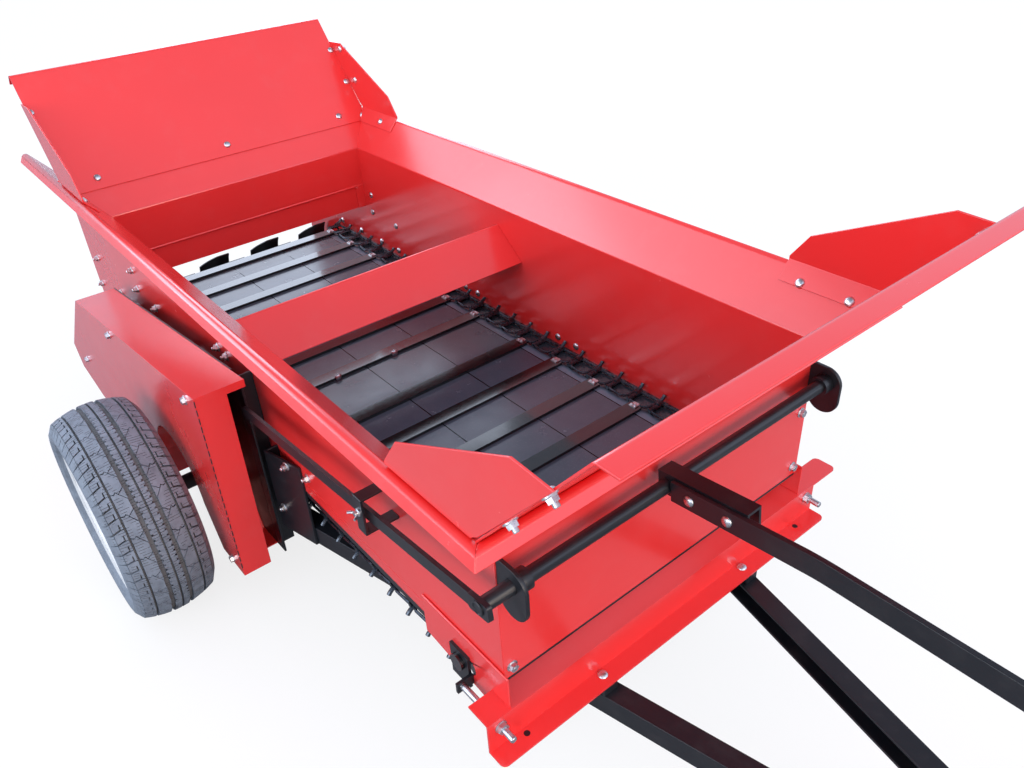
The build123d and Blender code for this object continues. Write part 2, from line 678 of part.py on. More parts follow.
# Front crossmember: Z section across the machine, with an ear on its left end
ZBAR_FRONT_X = ZBAR_X + ZBAR_BOTTOM_FLANGE
ROD_Y = OUTER + SHEET + TAKEUP_THICK + 3 * TAKEUP_ROD_R
ROD_Z = SHAFT_Z - TAKEUP_ROD_DROP
with BuildPart() as front_crossmember:
    with BuildSketch(Plane.XZ.offset(-ZBAR_LENGTH / 2)):
        with BuildLine():
            Polyline(
                (ZBAR_X - ZBAR_TOP_FLANGE, ZBAR_TOP_Z),
                (ZBAR_X + SHEET, ZBAR_TOP_Z),
                (ZBAR_X + SHEET, ZBAR_BOTTOM_Z + SHEET),
                (ZBAR_FRONT_X, ZBAR_BOTTOM_Z + SHEET),
                (ZBAR_FRONT_X, ZBAR_BOTTOM_Z),
                (ZBAR_X, ZBAR_BOTTOM_Z),
                (ZBAR_X, ZBAR_TOP_Z - SHEET),
                (ZBAR_X - ZBAR_TOP_FLANGE, ZBAR_TOP_Z - SHEET),
                close=True,
            )
        make_face()
    extrude(amount=ZBAR_LENGTH)
    with BuildSketch(Plane.XY.offset(ZBAR_TOP_Z - SHEET)):
        with Locations((ZBAR_X - ZBAR_TOP_FLANGE / 2 + SHEET / 2, ZBAR_LENGTH / 2)):
            RectangleRounded(ZBAR_TOP_FLANGE + SHEET, 2 * ZBAR_EAR, 3 * SHEET)
    extrude(amount=SHEET)
    tips = front_crossmember.edges().filter_by(Axis.Z).group_by(Axis.X)[-1]
    fillet(tips, radius=3 * SHEET)
    with BuildSketch(Plane.YZ.offset(ZBAR_X - SHEET)):
        with Locations((ROD_Y, ROD_Z), (-ROD_Y, ROD_Z)):
            Circle(TAKEUP_ROD_R + ROD_HOLE_GAP)
    extrude(amount=3 * SHEET, mode=Mode.SUBTRACT)
save(front_crossmember, "front_crossmember")

# Lower side plates, slotted for the idler shaft
PLATE_REAR_X = FRONT_X - LOWER_PLATE_LENGTH
with BuildPart() as lower_plate:
    with BuildSketch(Plane.XZ.offset(-OUTER - SHEET)):
        with BuildLine():
            Polyline(
                (PLATE_REAR_X, LOWER_PLATE_TOP_Z),
                (ZBAR_X, LOWER_PLATE_TOP_Z),
                (ZBAR_X, ZBAR_TOP_Z),
                (ZBAR_X - ZBAR_TOP_FLANGE, ZBAR_TOP_Z),
                (ZBAR_X - ZBAR_TOP_FLANGE, LOWER_PLATE_FRONT_Z),
                (PLATE_REAR_X, LOWER_PLATE_REAR_Z),
                close=True,
            )
        make_face()
        with Locations((IDLER_X, SHAFT_Z)):
            SlotOverall(SLOT_LENGTH, 2 * (SHAFT_R + SLOT_GAP), mode=Mode.SUBTRACT)
    extrude(amount=SHEET)
save_pair(lower_plate, "lower_plate")

# Take-ups: a plate on the idler shaft, drawn forward by a threaded rod through the crossmember
TAKEUP_FRONT_X = IDLER_X + TAKEUP_WIDTH / 2
with BuildPart() as takeup:
    with BuildSketch(Plane.XZ.offset(-OUTER - SHEET - TAKEUP_THICK)):
        with Locations((IDLER_X, SHAFT_Z - TAKEUP_ROD_DROP / 2)):
            Rectangle(TAKEUP_WIDTH, TAKEUP_WIDTH + TAKEUP_ROD_DROP)
        with Locations((IDLER_X, SHAFT_Z)):
            Circle(SHAFT_R + RUNNING_GAP, mode=Mode.SUBTRACT)
    extrude(amount=TAKEUP_THICK)
    tab_width = ROD_Y + 2 * TAKEUP_ROD_R - OUTER - SHEET
    with Locations((TAKEUP_FRONT_X + TAKEUP_THICK / 2, OUTER + SHEET + tab_width / 2, ROD_Z)):
        Box(TAKEUP_THICK, tab_width, 4 * TAKEUP_ROD_R)
    rod_end = ZBAR_X + SHEET + 6 * TAKEUP_ROD_R
    with Locations(((TAKEUP_FRONT_X + rod_end) / 2, ROD_Y, ROD_Z)):
        Cylinder(TAKEUP_ROD_R, rod_end - TAKEUP_FRONT_X, rotation=(0, 90, 0))
    with BuildSketch(Plane.YZ.offset(ZBAR_X + SHEET)):
        with Locations((ROD_Y, ROD_Z)):
            RegularPolygon(TAKEUP_ROD_R * 1.8, 6)
    extrude(amount=TAKEUP_ROD_R * 1.6)
save_pair(takeup, "takeup")

# Axle through both hangers, with collars that hold the wheels in place
HUB_INNER_Y = WHEEL_Y - HUB_LENGTH / 2
HUB_OUTER_Y = WHEEL_Y + HUB_LENGTH / 2
with BuildPart() as axle:
    with Locations((AXLE_X, 0, AXLE_Z)):
        Cylinder(AXLE_R, 2 * (HUB_OUTER_Y + AXLE_STICK_OUT), rotation=(90, 0, 0))
    for side in (1, -1):
        for y in (HUB_INNER_Y - WHEEL_END_GAP - COLLAR_LENGTH / 2, HUB_OUTER_Y + WHEEL_END_GAP + AXLE_STICK_OUT / 3):
            length = COLLAR_LENGTH if y < WHEEL_Y else 2 * AXLE_STICK_OUT / 3
            with Locations((AXLE_X, side * y, AXLE_Z)):
                Cylinder(COLLAR_R, length, rotation=(90, 0, 0))
save(axle, "axle")

# Hanger plates bolted to the side walls, rounded round the axle
with BuildPart() as hanger:
    with BuildSketch(Plane.XZ.offset(-OUTER - HANGER_THICK)) as hanger_outline:
        with BuildLine():
            Polyline(
                (AXLE_X - HANGER_WIDTH / 2, HANGER_TOP_Z),
                (AXLE_X + HANGER_WIDTH / 2, HANGER_TOP_Z),
                (AXLE_X + HANGER_WIDTH / 2, SIDE_BOTTOM_Z),
                (AXLE_X + HANGER_FOOT_R, AXLE_Z),
                (AXLE_X - HANGER_FOOT_R, AXLE_Z),
                (AXLE_X - HANGER_WIDTH / 2, SIDE_BOTTOM_Z),
                close=True,
            )
        make_face()
        with Locations((AXLE_X, AXLE_Z)):
            Circle(HANGER_FOOT_R)
            Circle(AXLE_R + RUNNING_GAP, mode=Mode.SUBTRACT)
    extrude(amount=HANGER_THICK)
save_pair(hanger, "axle_hanger")

# Wheels: a pressed rim with disc and hub, and the tyre on it
WHEEL_AXIS = Axis((AXLE_X, 0, AXLE_Z), (0, 1, 0))
WHEEL_PLANE = Plane(origin=(AXLE_X, WHEEL_Y, AXLE_Z), x_dir=(1, 0, 0), z_dir=(0, 0, 1))
with BuildPart() as wheel_rim:
    with BuildSketch(WHEEL_PLANE):
        with BuildLine():
            FilletPolyline(
                (RIM_R + RIM_FLANGE, -RIM_WIDTH / 2),
                (RIM_R, -RIM_WIDTH / 2),
                (RIM_R - RIM_FLANGE, -RIM_WIDTH / 5),
                (RIM_R - RIM_FLANGE, RIM_WIDTH / 5),
                (RIM_R, RIM_WIDTH / 2),
                (RIM_R + RIM_FLANGE, RIM_WIDTH / 2),
                radius=RIM_SHEET * 1.3,
            )
            offset(amount=RIM_SHEET, side=Side.LEFT)
        make_face()
        with BuildLine():
            Polyline(
                (AXLE_R + RUNNING_GAP, -HUB_LENGTH / 2),
                (HUB_R, -HUB_LENGTH / 2),
                (HUB_R, DISC_OFFSET - RIM_SHEET),
                (RIM_R * 0.62, DISC_OFFSET + RIM_SHEET),
                (RIM_R * 0.80, DISC_OFFSET - RIM_SHEET),
                (RIM_R - RIM_FLANGE - RIM_SHEET / 2, DISC_OFFSET - RIM_SHEET),
                (RIM_R - RIM_FLANGE - RIM_SHEET / 2, DISC_OFFSET),
                (RIM_R * 0.80, DISC_OFFSET),
                (RIM_R * 0.62, DISC_OFFSET + 2 * RIM_SHEET),
                (HUB_R, DISC_OFFSET),
                (HUB_R, HUB_LENGTH / 2),
                (AXLE_R + RUNNING_GAP, HUB_LENGTH / 2),
                close=True,
            )
        make_face()
    revolve(axis=WHEEL_AXIS)
save_pair(wheel_rim, "wheel_rim")

BEAD_R = RIM_R + RIM_SHEET
BEAD_TOP_R = RIM_R + RIM_FLANGE
BEAD_HALF = RIM_WIDTH / 2
SHOULDER_R = TYRE_R - TYRE_CROWN
with BuildPart() as tyre:
    with BuildSketch(WHEEL_PLANE):
        with BuildLine():
            Line((BEAD_R, -BEAD_HALF), (BEAD_R, BEAD_HALF))
            Line((BEAD_R, BEAD_HALF), (BEAD_TOP_R, BEAD_HALF))
            ThreePointArc(
                (BEAD_TOP_R, BEAD_HALF),
                ((RIM_R + TYRE_R) / 2, TYRE_WIDTH / 2),
                (SHOULDER_R, TYRE_WIDTH * 0.43),
            )
            ThreePointArc(
                (SHOULDER_R, TYRE_WIDTH * 0.43), (TYRE_R, 0), (SHOULDER_R, -TYRE_WIDTH * 0.43)
            )
            ThreePointArc(
                (SHOULDER_R, -TYRE_WIDTH * 0.43),
                ((RIM_R + TYRE_R) / 2, -TYRE_WIDTH / 2),
                (BEAD_TOP_R, -BEAD_HALF),
            )
            Line((BEAD_TOP_R, -BEAD_HALF), (BEAD_R, -BEAD_HALF))
        make_face()
    revolve(axis=WHEEL_AXIS)
save_pair(tyre, "tyre")

# Tongue: two channels closing in towards the hitch, open sides inward
BAR_START_X = BRACKET_X + TONGUE_BRACKET_THICK + TONGUE_FLANGE * TONGUE_SLOPE + BAR_END_GAP
BAR_END_X = HITCH_X - TONGUE_NOSE_GAP
BAR_DIRECTION = (cos(radians(TONGUE_ANGLE)), -sin(radians(TONGUE_ANGLE)), 0)
with BuildPart() as tongue_bar:
    bar_plane = Plane(
        origin=(BAR_START_X, tongue_y(BAR_START_X), TONGUE_BOTTOM_Z),
        x_dir=(sin(radians(TONGUE_ANGLE)), cos(radians(TONGUE_ANGLE)), 0),
        z_dir=BAR_DIRECTION,
    )
    with BuildSketch(bar_plane):
        with BuildLine():
            Polyline(
                (-TONGUE_FLANGE, TONGUE_HEIGHT),
                (0, TONGUE_HEIGHT),
                (0, 0),
                (-TONGUE_FLANGE, 0),
                (-TONGUE_FLANGE, TONGUE_THICK),
                (-TONGUE_THICK, TONGUE_THICK),
                (-TONGUE_THICK, TONGUE_HEIGHT - TONGUE_THICK),
                (-TONGUE_FLANGE, TONGUE_HEIGHT - TONGUE_THICK),
                close=True,
            )
        make_face()
    extrude(amount=(BAR_END_X - BAR_START_X) / cos(radians(TONGUE_ANGLE)))
save_pair(tongue_bar, "tongue_bar")

# Brackets that carry the rear ends of the bars from the side walls
BRACKET_END_X = BRACKET_X + TONGUE_BRACKET_LENGTH
with BuildPart() as tongue_bracket:
    with BuildSketch(Plane.XY.offset(TONGUE_BOTTOM_Z)):
        with BuildLine():
            Polyline(
                (BRACKET_X, OUTER),
                (BRACKET_X, tongue_y(BRACKET_X) + TONGUE_BRACKET_THICK),
                (BRACKET_END_X, tongue_y(BRACKET_END_X) + TONGUE_BRACKET_THICK),
                (BRACKET_END_X, tongue_y(BRACKET_END_X)),
                (BRACKET_X + TONGUE_BRACKET_THICK, tongue_y(BRACKET_X + TONGUE_BRACKET_THICK)),
                (BRACKET_X + TONGUE_BRACKET_THICK, OUTER),
                close=True,
            )
        make_face()
    extrude(amount=TONGUE_BRACKET_TOP_Z - TONGUE_BOTTOM_Z)
save_pair(tongue_bracket, "tongue_bracket")

# Pads between the bars and the crossmember's lower flange
PAD_X = ZBAR_X + ZBAR_BOTTOM_FLANGE / 2
with BuildPart() as tongue_pad:
    with BuildSketch(Plane.XY.offset(TONGUE_TOP_Z)):
        with Locations((PAD_X, tongue_y(PAD_X) - TONGUE_FLANGE / 2)):
            Rectangle(ZBAR_BOTTOM_FLANGE, TONGUE_FLANGE * 0.8)
    extrude(amount=ZBAR_BOTTOM_Z - TONGUE_TOP_Z)
save_pair(tongue_pad, "tongue_pad")

# Hitch clevis: one plate above the bars and one below, bored for the drawbar pin
HITCH_REAR_X = HITCH_X - HITCH_PLATE_BACK
with BuildPart() as hitch_clevis:
    with BuildSketch(Plane.XY.offset(TONGUE_TOP_Z), Plane.XY.offset(TONGUE_BOTTOM_Z - HITCH_PLATE)):
        with BuildLine():
            Polyline(
                (HITCH_REAR_X, -tongue_y(HITCH_REAR_X)),
                (HITCH_X, -HITCH_NOSE),
                (HITCH_X, HITCH_NOSE),
                (HITCH_REAR_X, tongue_y(HITCH_REAR_X)),
                close=True,
            )
        make_face()
        with Locations((HITCH_X, 0)):
            Circle(HITCH_NOSE)
            Circle(HITCH_BORE_R, mode=Mode.SUBTRACT)
    extrude(amount=HITCH_PLATE)
save(hitch_clevis, "hitch_clevis")

# Parking stand: a square sleeve through a plate on the bars, and the leg that slides in it
STAND_PLATE_HALF = tongue_y(STAND_X) - TONGUE_THICK
with BuildPart() as stand_sleeve:
    with BuildSketch(Plane.XY.offset(TONGUE_TOP_Z)):
        with Locations((STAND_X, 0)):
            Rectangle(STAND_PLATE_LENGTH, 2 * STAND_PLATE_HALF)
    extrude(amount=STAND_PLATE_THICK)
    with BuildSketch(Plane.XY.offset(STAND_SLEEVE_BOTTOM_Z)):
        with Locations((STAND_X, 0)):
            Rectangle(STAND_SLEEVE, STAND_SLEEVE)
    extrude(amount=STAND_SLEEVE_TOP_Z - STAND_SLEEVE_BOTTOM_Z)
    with BuildSketch(Plane.XY.offset(STAND_SLEEVE_BOTTOM_Z)):
        with Locations((STAND_X, 0)):
            Rectangle(STAND_SLEEVE - 2 * STAND_WALL, STAND_SLEEVE - 2 * STAND_WALL)
    extrude(amount=STAND_SLEEVE_TOP_Z - STAND_SLEEVE_BOTTOM_Z, mode=Mode.SUBTRACT)
save(stand_sleeve, "stand_sleeve")

LEG_SIZE = STAND_SLEEVE - 2 * STAND_WALL - 2 * STAND_GAP
with BuildPart() as stand_leg:
    with BuildSketch(Plane.XY):
        with Locations((STAND_X, 0)):
            RectangleRounded(STAND_FOOT, STAND_FOOT, STAND_FOOT_THICK)
    extrude(amount=STAND_FOOT_THICK)
    with BuildSketch(Plane.XY.offset(STAND_FOOT_THICK)):
        with Locations((STAND_X, 0)):
            Rectangle(LEG_SIZE, LEG_SIZE)
    extrude(amount=STAND_LEG_TOP_Z - STAND_FOOT_THICK)
save(stand_leg, "stand_leg")

# Drive cover on the right side: an open-backed sheet box, arched over the axle
COVER_POINTS = [(AXLE_X + run, height) for run, height in COVER_CORNERS]
ARCH_START = (AXLE_X - COVER_ARCH_R, COVER_ARCH_Z)
ARCH_TOP = (AXLE_X, COVER_ARCH_Z + COVER_ARCH_R)
ARCH_END = (AXLE_X + COVER_ARCH_R, COVER_ARCH_Z)
with BuildSketch() as cover_outline:
    with BuildLine():
        Polyline(ARCH_END, *COVER_POINTS, ARCH_START)
        ThreePointArc(ARCH_START, ARCH_TOP, ARCH_END)
    make_face()

COVER_FRONT_X = AXLE_X + max(run for run, height in COVER_CORNERS)
COVER_TOP_Z = max(height for run, height in COVER_CORNERS)
with BuildPart() as drive_cover:
    with BuildSketch(Plane.XZ.offset(COVER_TOP_INNER_Y)):
        add(cover_outline.sketch)
    extrude(amount=COVER_DEPTH)
    with BuildSketch(Plane.XZ.offset(COVER_TOP_INNER_Y)):
        add(cover_outline.sketch)
        offset(amount=-COVER_SHEET, kind=Kind.INTERSECTION, mode=Mode.REPLACE)
    extrude(amount=COVER_DEPTH - COVER_SHEET, mode=Mode.SUBTRACT)
    with BuildSketch(Plane.XZ.offset(COVER_TOP_INNER_Y)):
        with Locations((COVER_FRONT_X, 0)):
            Rectangle(4 * POST_WIDTH, 2 * (COVER_TOP_Z - POST_WIDTH / 2))
    extrude(amount=COVER_FRONT_INNER_Y - COVER_TOP_INNER_Y, mode=Mode.SUBTRACT)
save(drive_cover, "drive_cover")

# Black back plate of the cover, on standoffs from the side wall
BACK_Y = COVER_TOP_INNER_Y - COVER_BACK_SHEET
with BuildPart() as cover_back:
    with BuildSketch(Plane.XZ.offset(BACK_Y)):
        add(cover_outline.sketch)
        with Locations((AXLE_X + POST_FROM_AXLE + HOPPER_LENGTH / 2, AXLE_Z)):
            Rectangle(HOPPER_LENGTH, HOPPER_LENGTH, mode=Mode.SUBTRACT)
    extrude(amount=COVER_BACK_SHEET)
    with BuildSketch(Plane.XZ.offset(OUTER)):
        with Locations(*[(AXLE_X + run, height) for run, height in STANDOFFS]):
            Circle(STANDOFF_R)
    extrude(amount=BACK_Y - OUTER)
save(cover_back, "cover_back")

# Upright post at the front of the cover: an angle standing off the side wall
POST_X = AXLE_X + POST_FROM_AXLE
with BuildPart() as cover_post:
    with BuildSketch(Plane.XY.offset(POST_BOTTOM_Z)):
        with BuildLine():
            Polyline(
                (POST_X, -OUTER),
                (POST_X, -COVER_TOP_INNER_Y),
                (POST_X + POST_WIDTH, -COVER_TOP_INNER_Y),
                (POST_X + POST_WIDTH, POST_SHEET - COVER_TOP_INNER_Y),
                (POST_X + POST_SHEET, POST_SHEET - COVER_TOP_INNER_Y),
                (POST_X + POST_SHEET, -OUTER),
                close=True,
            )
        make_face()
    extrude(amount=POST_TOP_Z - POST_BOTTOM_Z)
save(cover_post, "cover_post")

# Ears that carry the control shaft on the front wall
with BuildPart() as control_ear:
    with BuildSketch(Plane.XZ.offset(-EAR_Y - EAR_THICK / 2)):
        with BuildLine():
            Polyline(
                (FRONT_X + SHEET, CONTROL_Z + EAR_R),
                (CONTROL_X, CONTROL_Z + EAR_R),
                (CONTROL_X + EAR_R, CONTROL_Z),
                (CONTROL_X + EAR_R, CONTROL_Z - EAR_DROP),
                (CONTROL_X, CONTROL_Z - EAR_DROP - EAR_R),
                (FRONT_X + SHEET, CONTROL_Z - EAR_DROP),
                close=True,
            )
        make_face()
        with Locations((CONTROL_X, CONTROL_Z), (CONTROL_X, CONTROL_Z - EAR_DROP)):
            Circle(EAR_R)
        with Locations((CONTROL_X, CONTROL_Z)):
            Circle(CONTROL_R + RUNNING_GAP, mode=Mode.SUBTRACT)
    extrude(amount=EAR_THICK)
save_pair(control_ear, "control_ear")

# Control: cross shaft with collars, the channel for the handle and the arm along the right side
ARM_TILT = degrees(atan2(SIDE_ARM_DROP, SIDE_ARM_REACH))
COLLAR_GAP = 0.5
with BuildPart() as control_shaft:
    shaft_right = SIDE_ARM_Y + SIDE_ARM_THICK / 2
    shaft_left = EAR_Y + EAR_THICK / 2 + COLLAR_GAP + COLLAR_WIDTH
    with Locations((CONTROL_X, (shaft_left - shaft_right) / 2, CONTROL_Z)):
        Cylinder(CONTROL_R, shaft_left + shaft_right, rotation=(90, 0, 0))
    collar_y = EAR_Y - EAR_THICK / 2 - COLLAR_GAP - COLLAR_WIDTH / 2
    with Locations((CONTROL_X, collar_y, CONTROL_Z), (CONTROL_X, -collar_y, CONTROL_Z)):
        Cylinder(CONTROL_R * 1.5, COLLAR_WIDTH, rotation=(90, 0, 0))
    with BuildSketch(Plane.XZ.offset(SIDE_ARM_Y - SIDE_ARM_THICK / 2)):
        with Locations((CONTROL_X - SIDE_ARM_REACH / 2, CONTROL_Z - SIDE_ARM_DROP / 2)):
            SlotCenterToCenter(SIDE_ARM_REACH, SIDE_ARM_HEIGHT, rotation=ARM_TILT)
    extrude(amount=SIDE_ARM_THICK)
    channel_plane = Plane(
        origin=(CONTROL_X - CONTROL_R * 1.5, LEVER_Y, CONTROL_Z),
        x_dir=(0, 1, 0),
        z_dir=(1, 0, LEVER_RISE),
    )
    with BuildSketch(channel_plane):
        half_width = LEVER_CHANNEL_WIDTH / 2
        low = -LEVER_CHANNEL_HEIGHT / 2
        with BuildLine():
            Polyline(
                (-half_width, low),
                (-half_width, -low),
                (half_width, -low),
                (half_width, low),
                (half_width - LEVER_CHANNEL_SHEET, low),
                (half_width - LEVER_CHANNEL_SHEET, -low - LEVER_CHANNEL_SHEET),
                (LEVER_CHANNEL_SHEET - half_width, -low - LEVER_CHANNEL_SHEET),
                (LEVER_CHANNEL_SHEET - half_width, low),
                close=True,
            )
        make_face()
    extrude(amount=LEVER_CHANNEL_LENGTH)
save(control_shaft, "control_shaft")

# Handle: a flat bar on edge against the channel's right side, levelling out forward of it
HANDLE_Y = LEVER_Y - LEVER_CHANNEL_WIDTH / 2 - HANDLE_THICK
HANDLE_START_X = CONTROL_X + CONTROL_R * 1.4
HANDLE_BEND_X = CONTROL_X + LEVER_CHANNEL_LENGTH * 1.6
HANDLE_LOW = CONTROL_Z - HANDLE_HEIGHT / 2
with BuildPart() as control_handle:
    with BuildSketch(Plane.XZ.offset(-HANDLE_Y)):
        with BuildLine():
            FilletPolyline(
                (HANDLE_START_X, HANDLE_LOW + (HANDLE_START_X - CONTROL_X) * LEVER_RISE),
                (HANDLE_BEND_X, HANDLE_LOW + (HANDLE_BEND_X - CONTROL_X) * LEVER_RISE),
                (CONTROL_X + HANDLE_LENGTH, HANDLE_LOW + (HANDLE_BEND_X - CONTROL_X) * LEVER_RISE),
                radius=HANDLE_LENGTH / 2,
            )
            offset(amount=HANDLE_HEIGHT, side=Side.LEFT)
        make_face()
    extrude(amount=-HANDLE_THICK)
save(control_handle, "control_handle")

# Guide on the right wall that the side arm moves up and down in
GUIDE_X = CONTROL_X - GUIDE_FROM_CONTROL
GUIDE_Z = CONTROL_Z - GUIDE_FROM_CONTROL * SIDE_ARM_DROP / SIDE_ARM_REACH
GUIDE_DEPTH = SIDE_ARM_Y + SIDE_ARM_THICK / 2 + ARM_GUIDE_GAP - OUTER
GUIDE_OPENING = SIDE_ARM_HEIGHT + 2 * ARM_GUIDE_TRAVEL
with BuildPart() as arm_guide:
    with BuildSketch(Plane.YZ.offset(GUIDE_X - ARM_GUIDE_LENGTH / 2)):
        with Locations((-OUTER - (GUIDE_DEPTH + ARM_GUIDE_SHEET) / 2, GUIDE_Z)):
            Rectangle(GUIDE_DEPTH + ARM_GUIDE_SHEET, GUIDE_OPENING + 2 * ARM_GUIDE_SHEET)
        with Locations((-OUTER - GUIDE_DEPTH / 2, GUIDE_Z)):
            Rectangle(GUIDE_DEPTH, GUIDE_OPENING, mode=Mode.SUBTRACT)
    extrude(amount=ARM_GUIDE_LENGTH)
save(arm_guide, "arm_guide")
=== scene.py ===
"""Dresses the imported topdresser: paint, tyre tread, apron links, fasteners, light and camera."""

import json
import math

import bmesh
import bpy
from mathutils import Matrix, Vector

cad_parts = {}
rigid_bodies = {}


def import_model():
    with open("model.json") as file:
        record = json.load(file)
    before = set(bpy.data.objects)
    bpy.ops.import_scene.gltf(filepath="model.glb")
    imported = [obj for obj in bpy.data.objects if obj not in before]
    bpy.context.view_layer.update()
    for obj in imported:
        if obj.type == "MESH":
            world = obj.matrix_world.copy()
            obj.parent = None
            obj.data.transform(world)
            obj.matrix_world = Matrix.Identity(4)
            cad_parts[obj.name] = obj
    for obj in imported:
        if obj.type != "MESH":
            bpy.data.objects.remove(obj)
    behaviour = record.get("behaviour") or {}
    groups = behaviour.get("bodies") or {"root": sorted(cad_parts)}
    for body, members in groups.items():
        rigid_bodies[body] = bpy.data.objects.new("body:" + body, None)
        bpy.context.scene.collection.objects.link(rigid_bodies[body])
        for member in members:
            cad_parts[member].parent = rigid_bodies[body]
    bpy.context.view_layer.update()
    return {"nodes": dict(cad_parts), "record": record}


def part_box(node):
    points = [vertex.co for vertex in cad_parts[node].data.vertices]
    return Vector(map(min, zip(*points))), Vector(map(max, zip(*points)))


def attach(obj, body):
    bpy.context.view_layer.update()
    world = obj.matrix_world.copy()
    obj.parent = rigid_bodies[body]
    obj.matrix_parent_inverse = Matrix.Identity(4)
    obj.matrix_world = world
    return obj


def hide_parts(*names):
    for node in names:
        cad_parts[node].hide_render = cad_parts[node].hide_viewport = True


bl_info = {
    "name": "Topdresser dressing",
    "version": (1, 0, 0),
    "blender": (4, 5, 0),
    "location": "3D View > Sidebar > Topdresser",
    "description": "Builds the visible finish of a towed topdresser on its packed frame",
    "category": "Object",
}

for leftover in list(bpy.data.objects):
    bpy.data.objects.remove(leftover)
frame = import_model()

# Millimetres to the frame's metres
MM = 0.001

# Places on the frame, in millimetres, as the solids have them
REAR_WALL_X = -1096.5
FRONT_WALL_X = 640.5
BEND_Z = 800.0
FLARE_LEAN = 90.0 / 107.0
WALL_Y = 400.0
INNER_HALF = 398.0
SHEET = 4.0
PANEL_FOOT = 866.0
PANEL_CORNER = 898.7
PANEL_TOP = 1155.0
PANEL_HALF = 482.0
FOLD_R = 8.0
GATE_TOP = 675.0
GATE_FOOT = 600.0
AXLE = Vector((-507.0, 0.0, 282.0))
WHEEL_Y = 697.0
TYRE_R = 282.0
CROWN_DROP = 18.0
CROWN_HALF = 86.0
DRIVE_X = -1256.5
IDLER_X = 522.5
SHAFT_Z = 420.0
BEATER = Vector((-1446.5, 0.0, 335.0))
BEARING_Y = 418.0
APRON_RADIUS = 58.0
LANE_Y = 360.0
LINK_COUNT = 55
SPLICE_LINK = 12
BOARD_WIDTH = 181.5
BOARD_SEAM = 310.0
COVER_Y = -560.0
STAND_X = 1246.5
HITCH_X = 1521.5
TONGUE_SPREAD = 0.2361

# Sides and ends of the machine: name, direction along Y; name, wall, direction along X
SIDES = (("left", 1), ("right", -1))
ENDS = (("rear", REAR_WALL_X, -1), ("front", FRONT_WALL_X, 1))
UP = (0, 0, 1)


def linear(hex_code):
    """Linear RGBA of an sRGB hex colour."""
    channels = [int(hex_code[i : i + 2], 16) / 255 for i in (1, 3, 5)]
    return tuple(c / 12.92 if c <= 0.04045 else ((c + 0.055) / 1.055) ** 2.4 for c in channels) + (1.0,)


def length_setting(name, description, size):
    """Property for a length, its default given in millimetres."""
    return bpy.props.FloatProperty(name=name, description=description, default=size * MM, unit="LENGTH")


def colour_setting(name, description, hex_code):
    """Property for a colour, its default given as a hex code."""
    return bpy.props.FloatVectorProperty(
        name=name, description=description, subtype="COLOR", size=4, default=linear(hex_code)
    )


class TopdresserSizes(bpy.types.PropertyGroup):
    """Sizes of the dressed details that a user may want to change."""

    bolt_head: length_setting("Bolt head", "Diameter of a carriage bolt's head", 20.0)
    tread_depth: length_setting("Tread depth", "Depth of the tyre's grooves", 8.0)
    tread_pitches: bpy.props.IntProperty(
        name="Tread pitches", description="Shoulder blocks round one side of a tyre", default=64, min=24
    )
    link_wire: length_setting("Link bar", "Diameter of a chain link's side bars", 7.0)
    finger_rise: length_setting("Finger rise", "Height of a link's finger above the chain line", 19.0)
    edge_round: length_setting("Edge round", "Rounding of the coated sheet edges", 1.4)


class TopdresserColours(bpy.types.PropertyGroup):
    """Colours of the finishes."""

    red_coat: colour_setting("Red coat", "Powder coat on the hopper", "#EB3331")
    black_coat: colour_setting("Black coat", "Powder coat on frame and controls", "#14171C")
    board: colour_setting("Floor board", "Plastic floor boards", "#3E4049")
    rim_white: colour_setting("Rim paint", "Paint on the wheel rims", "#E4E4E0")
    rubber: colour_setting("Tyre rubber", "Clean tyre rubber", "#565D66")
    dust: colour_setting("Road dust", "Dust on the tyres", "#9AA5B0")
    floor: colour_setting("Studio floor", "Pale floor under the machine", "#F4F4F2")


def sizes():
    """The scene's size settings."""
    return bpy.context.scene.topdresser_sizes


def colours():
    """The scene's colour settings."""
    return bpy.context.scene.topdresser_colours


# Node tools: each adds to a node tree and gives the socket that carries its result


def add_node(tree, kind, inputs=None, **settings):
    """Add one shader node with its settings, and fill its inputs with values or links."""
    node = tree.nodes.new("ShaderNode" + kind)
    for name, value in settings.items():
        setattr(node, name, value)
    for name, value in (inputs or {}).items():
        if isinstance(value, bpy.types.NodeSocket):
            tree.links.new(value, node.inputs[name])
        else:
            node.inputs[name].default_value = value
    return node


def noise(tree, place, size, detail, roughness=0.5):
    """Noise whose features are about this many millimetres across."""
    inputs = {"Vector": place, "Scale": 1.0 / (size * MM), "Detail": detail, "Roughness": roughness}
    return add_node(tree, "TexNoise", inputs).outputs["Fac"]


def stretched(tree, place, share):
    """Coordinates that draw a texture out along X."""
    return add_node(tree, "Mapping", {"Vector": place, "Scale": (share, 1.0, 1.0)}).outputs[0]


def remap(tree, value, low, high, to_low, to_high):
    """A value carried from one range to another and held at its ends."""
    return add_node(tree, "MapRange", {0: value, 1: low, 2: high, 3: to_low, 4: to_high}).outputs[0]


def mix(tree, share, first, second):
    """Mix of two colours."""
    return add_node(tree, "Mix", {0: share, 6: first, 7: second}, data_type="RGBA").outputs[2]


def maths(tree, operation, *values):
    """Result of one step of arithmetic."""
    return add_node(tree, "Math", dict(enumerate(values)), operation=operation).outputs[0]


def bumps(tree, height, strength, depth):
    """Surface normal raised by a height, its depth in millimetres."""
    inputs = {"Strength": strength, "Distance": depth * MM, "Height": height}
    return add_node(tree, "Bump", inputs).outputs["Normal"]


# Materials: a finish is a recipe that gives the inputs of its principled shader


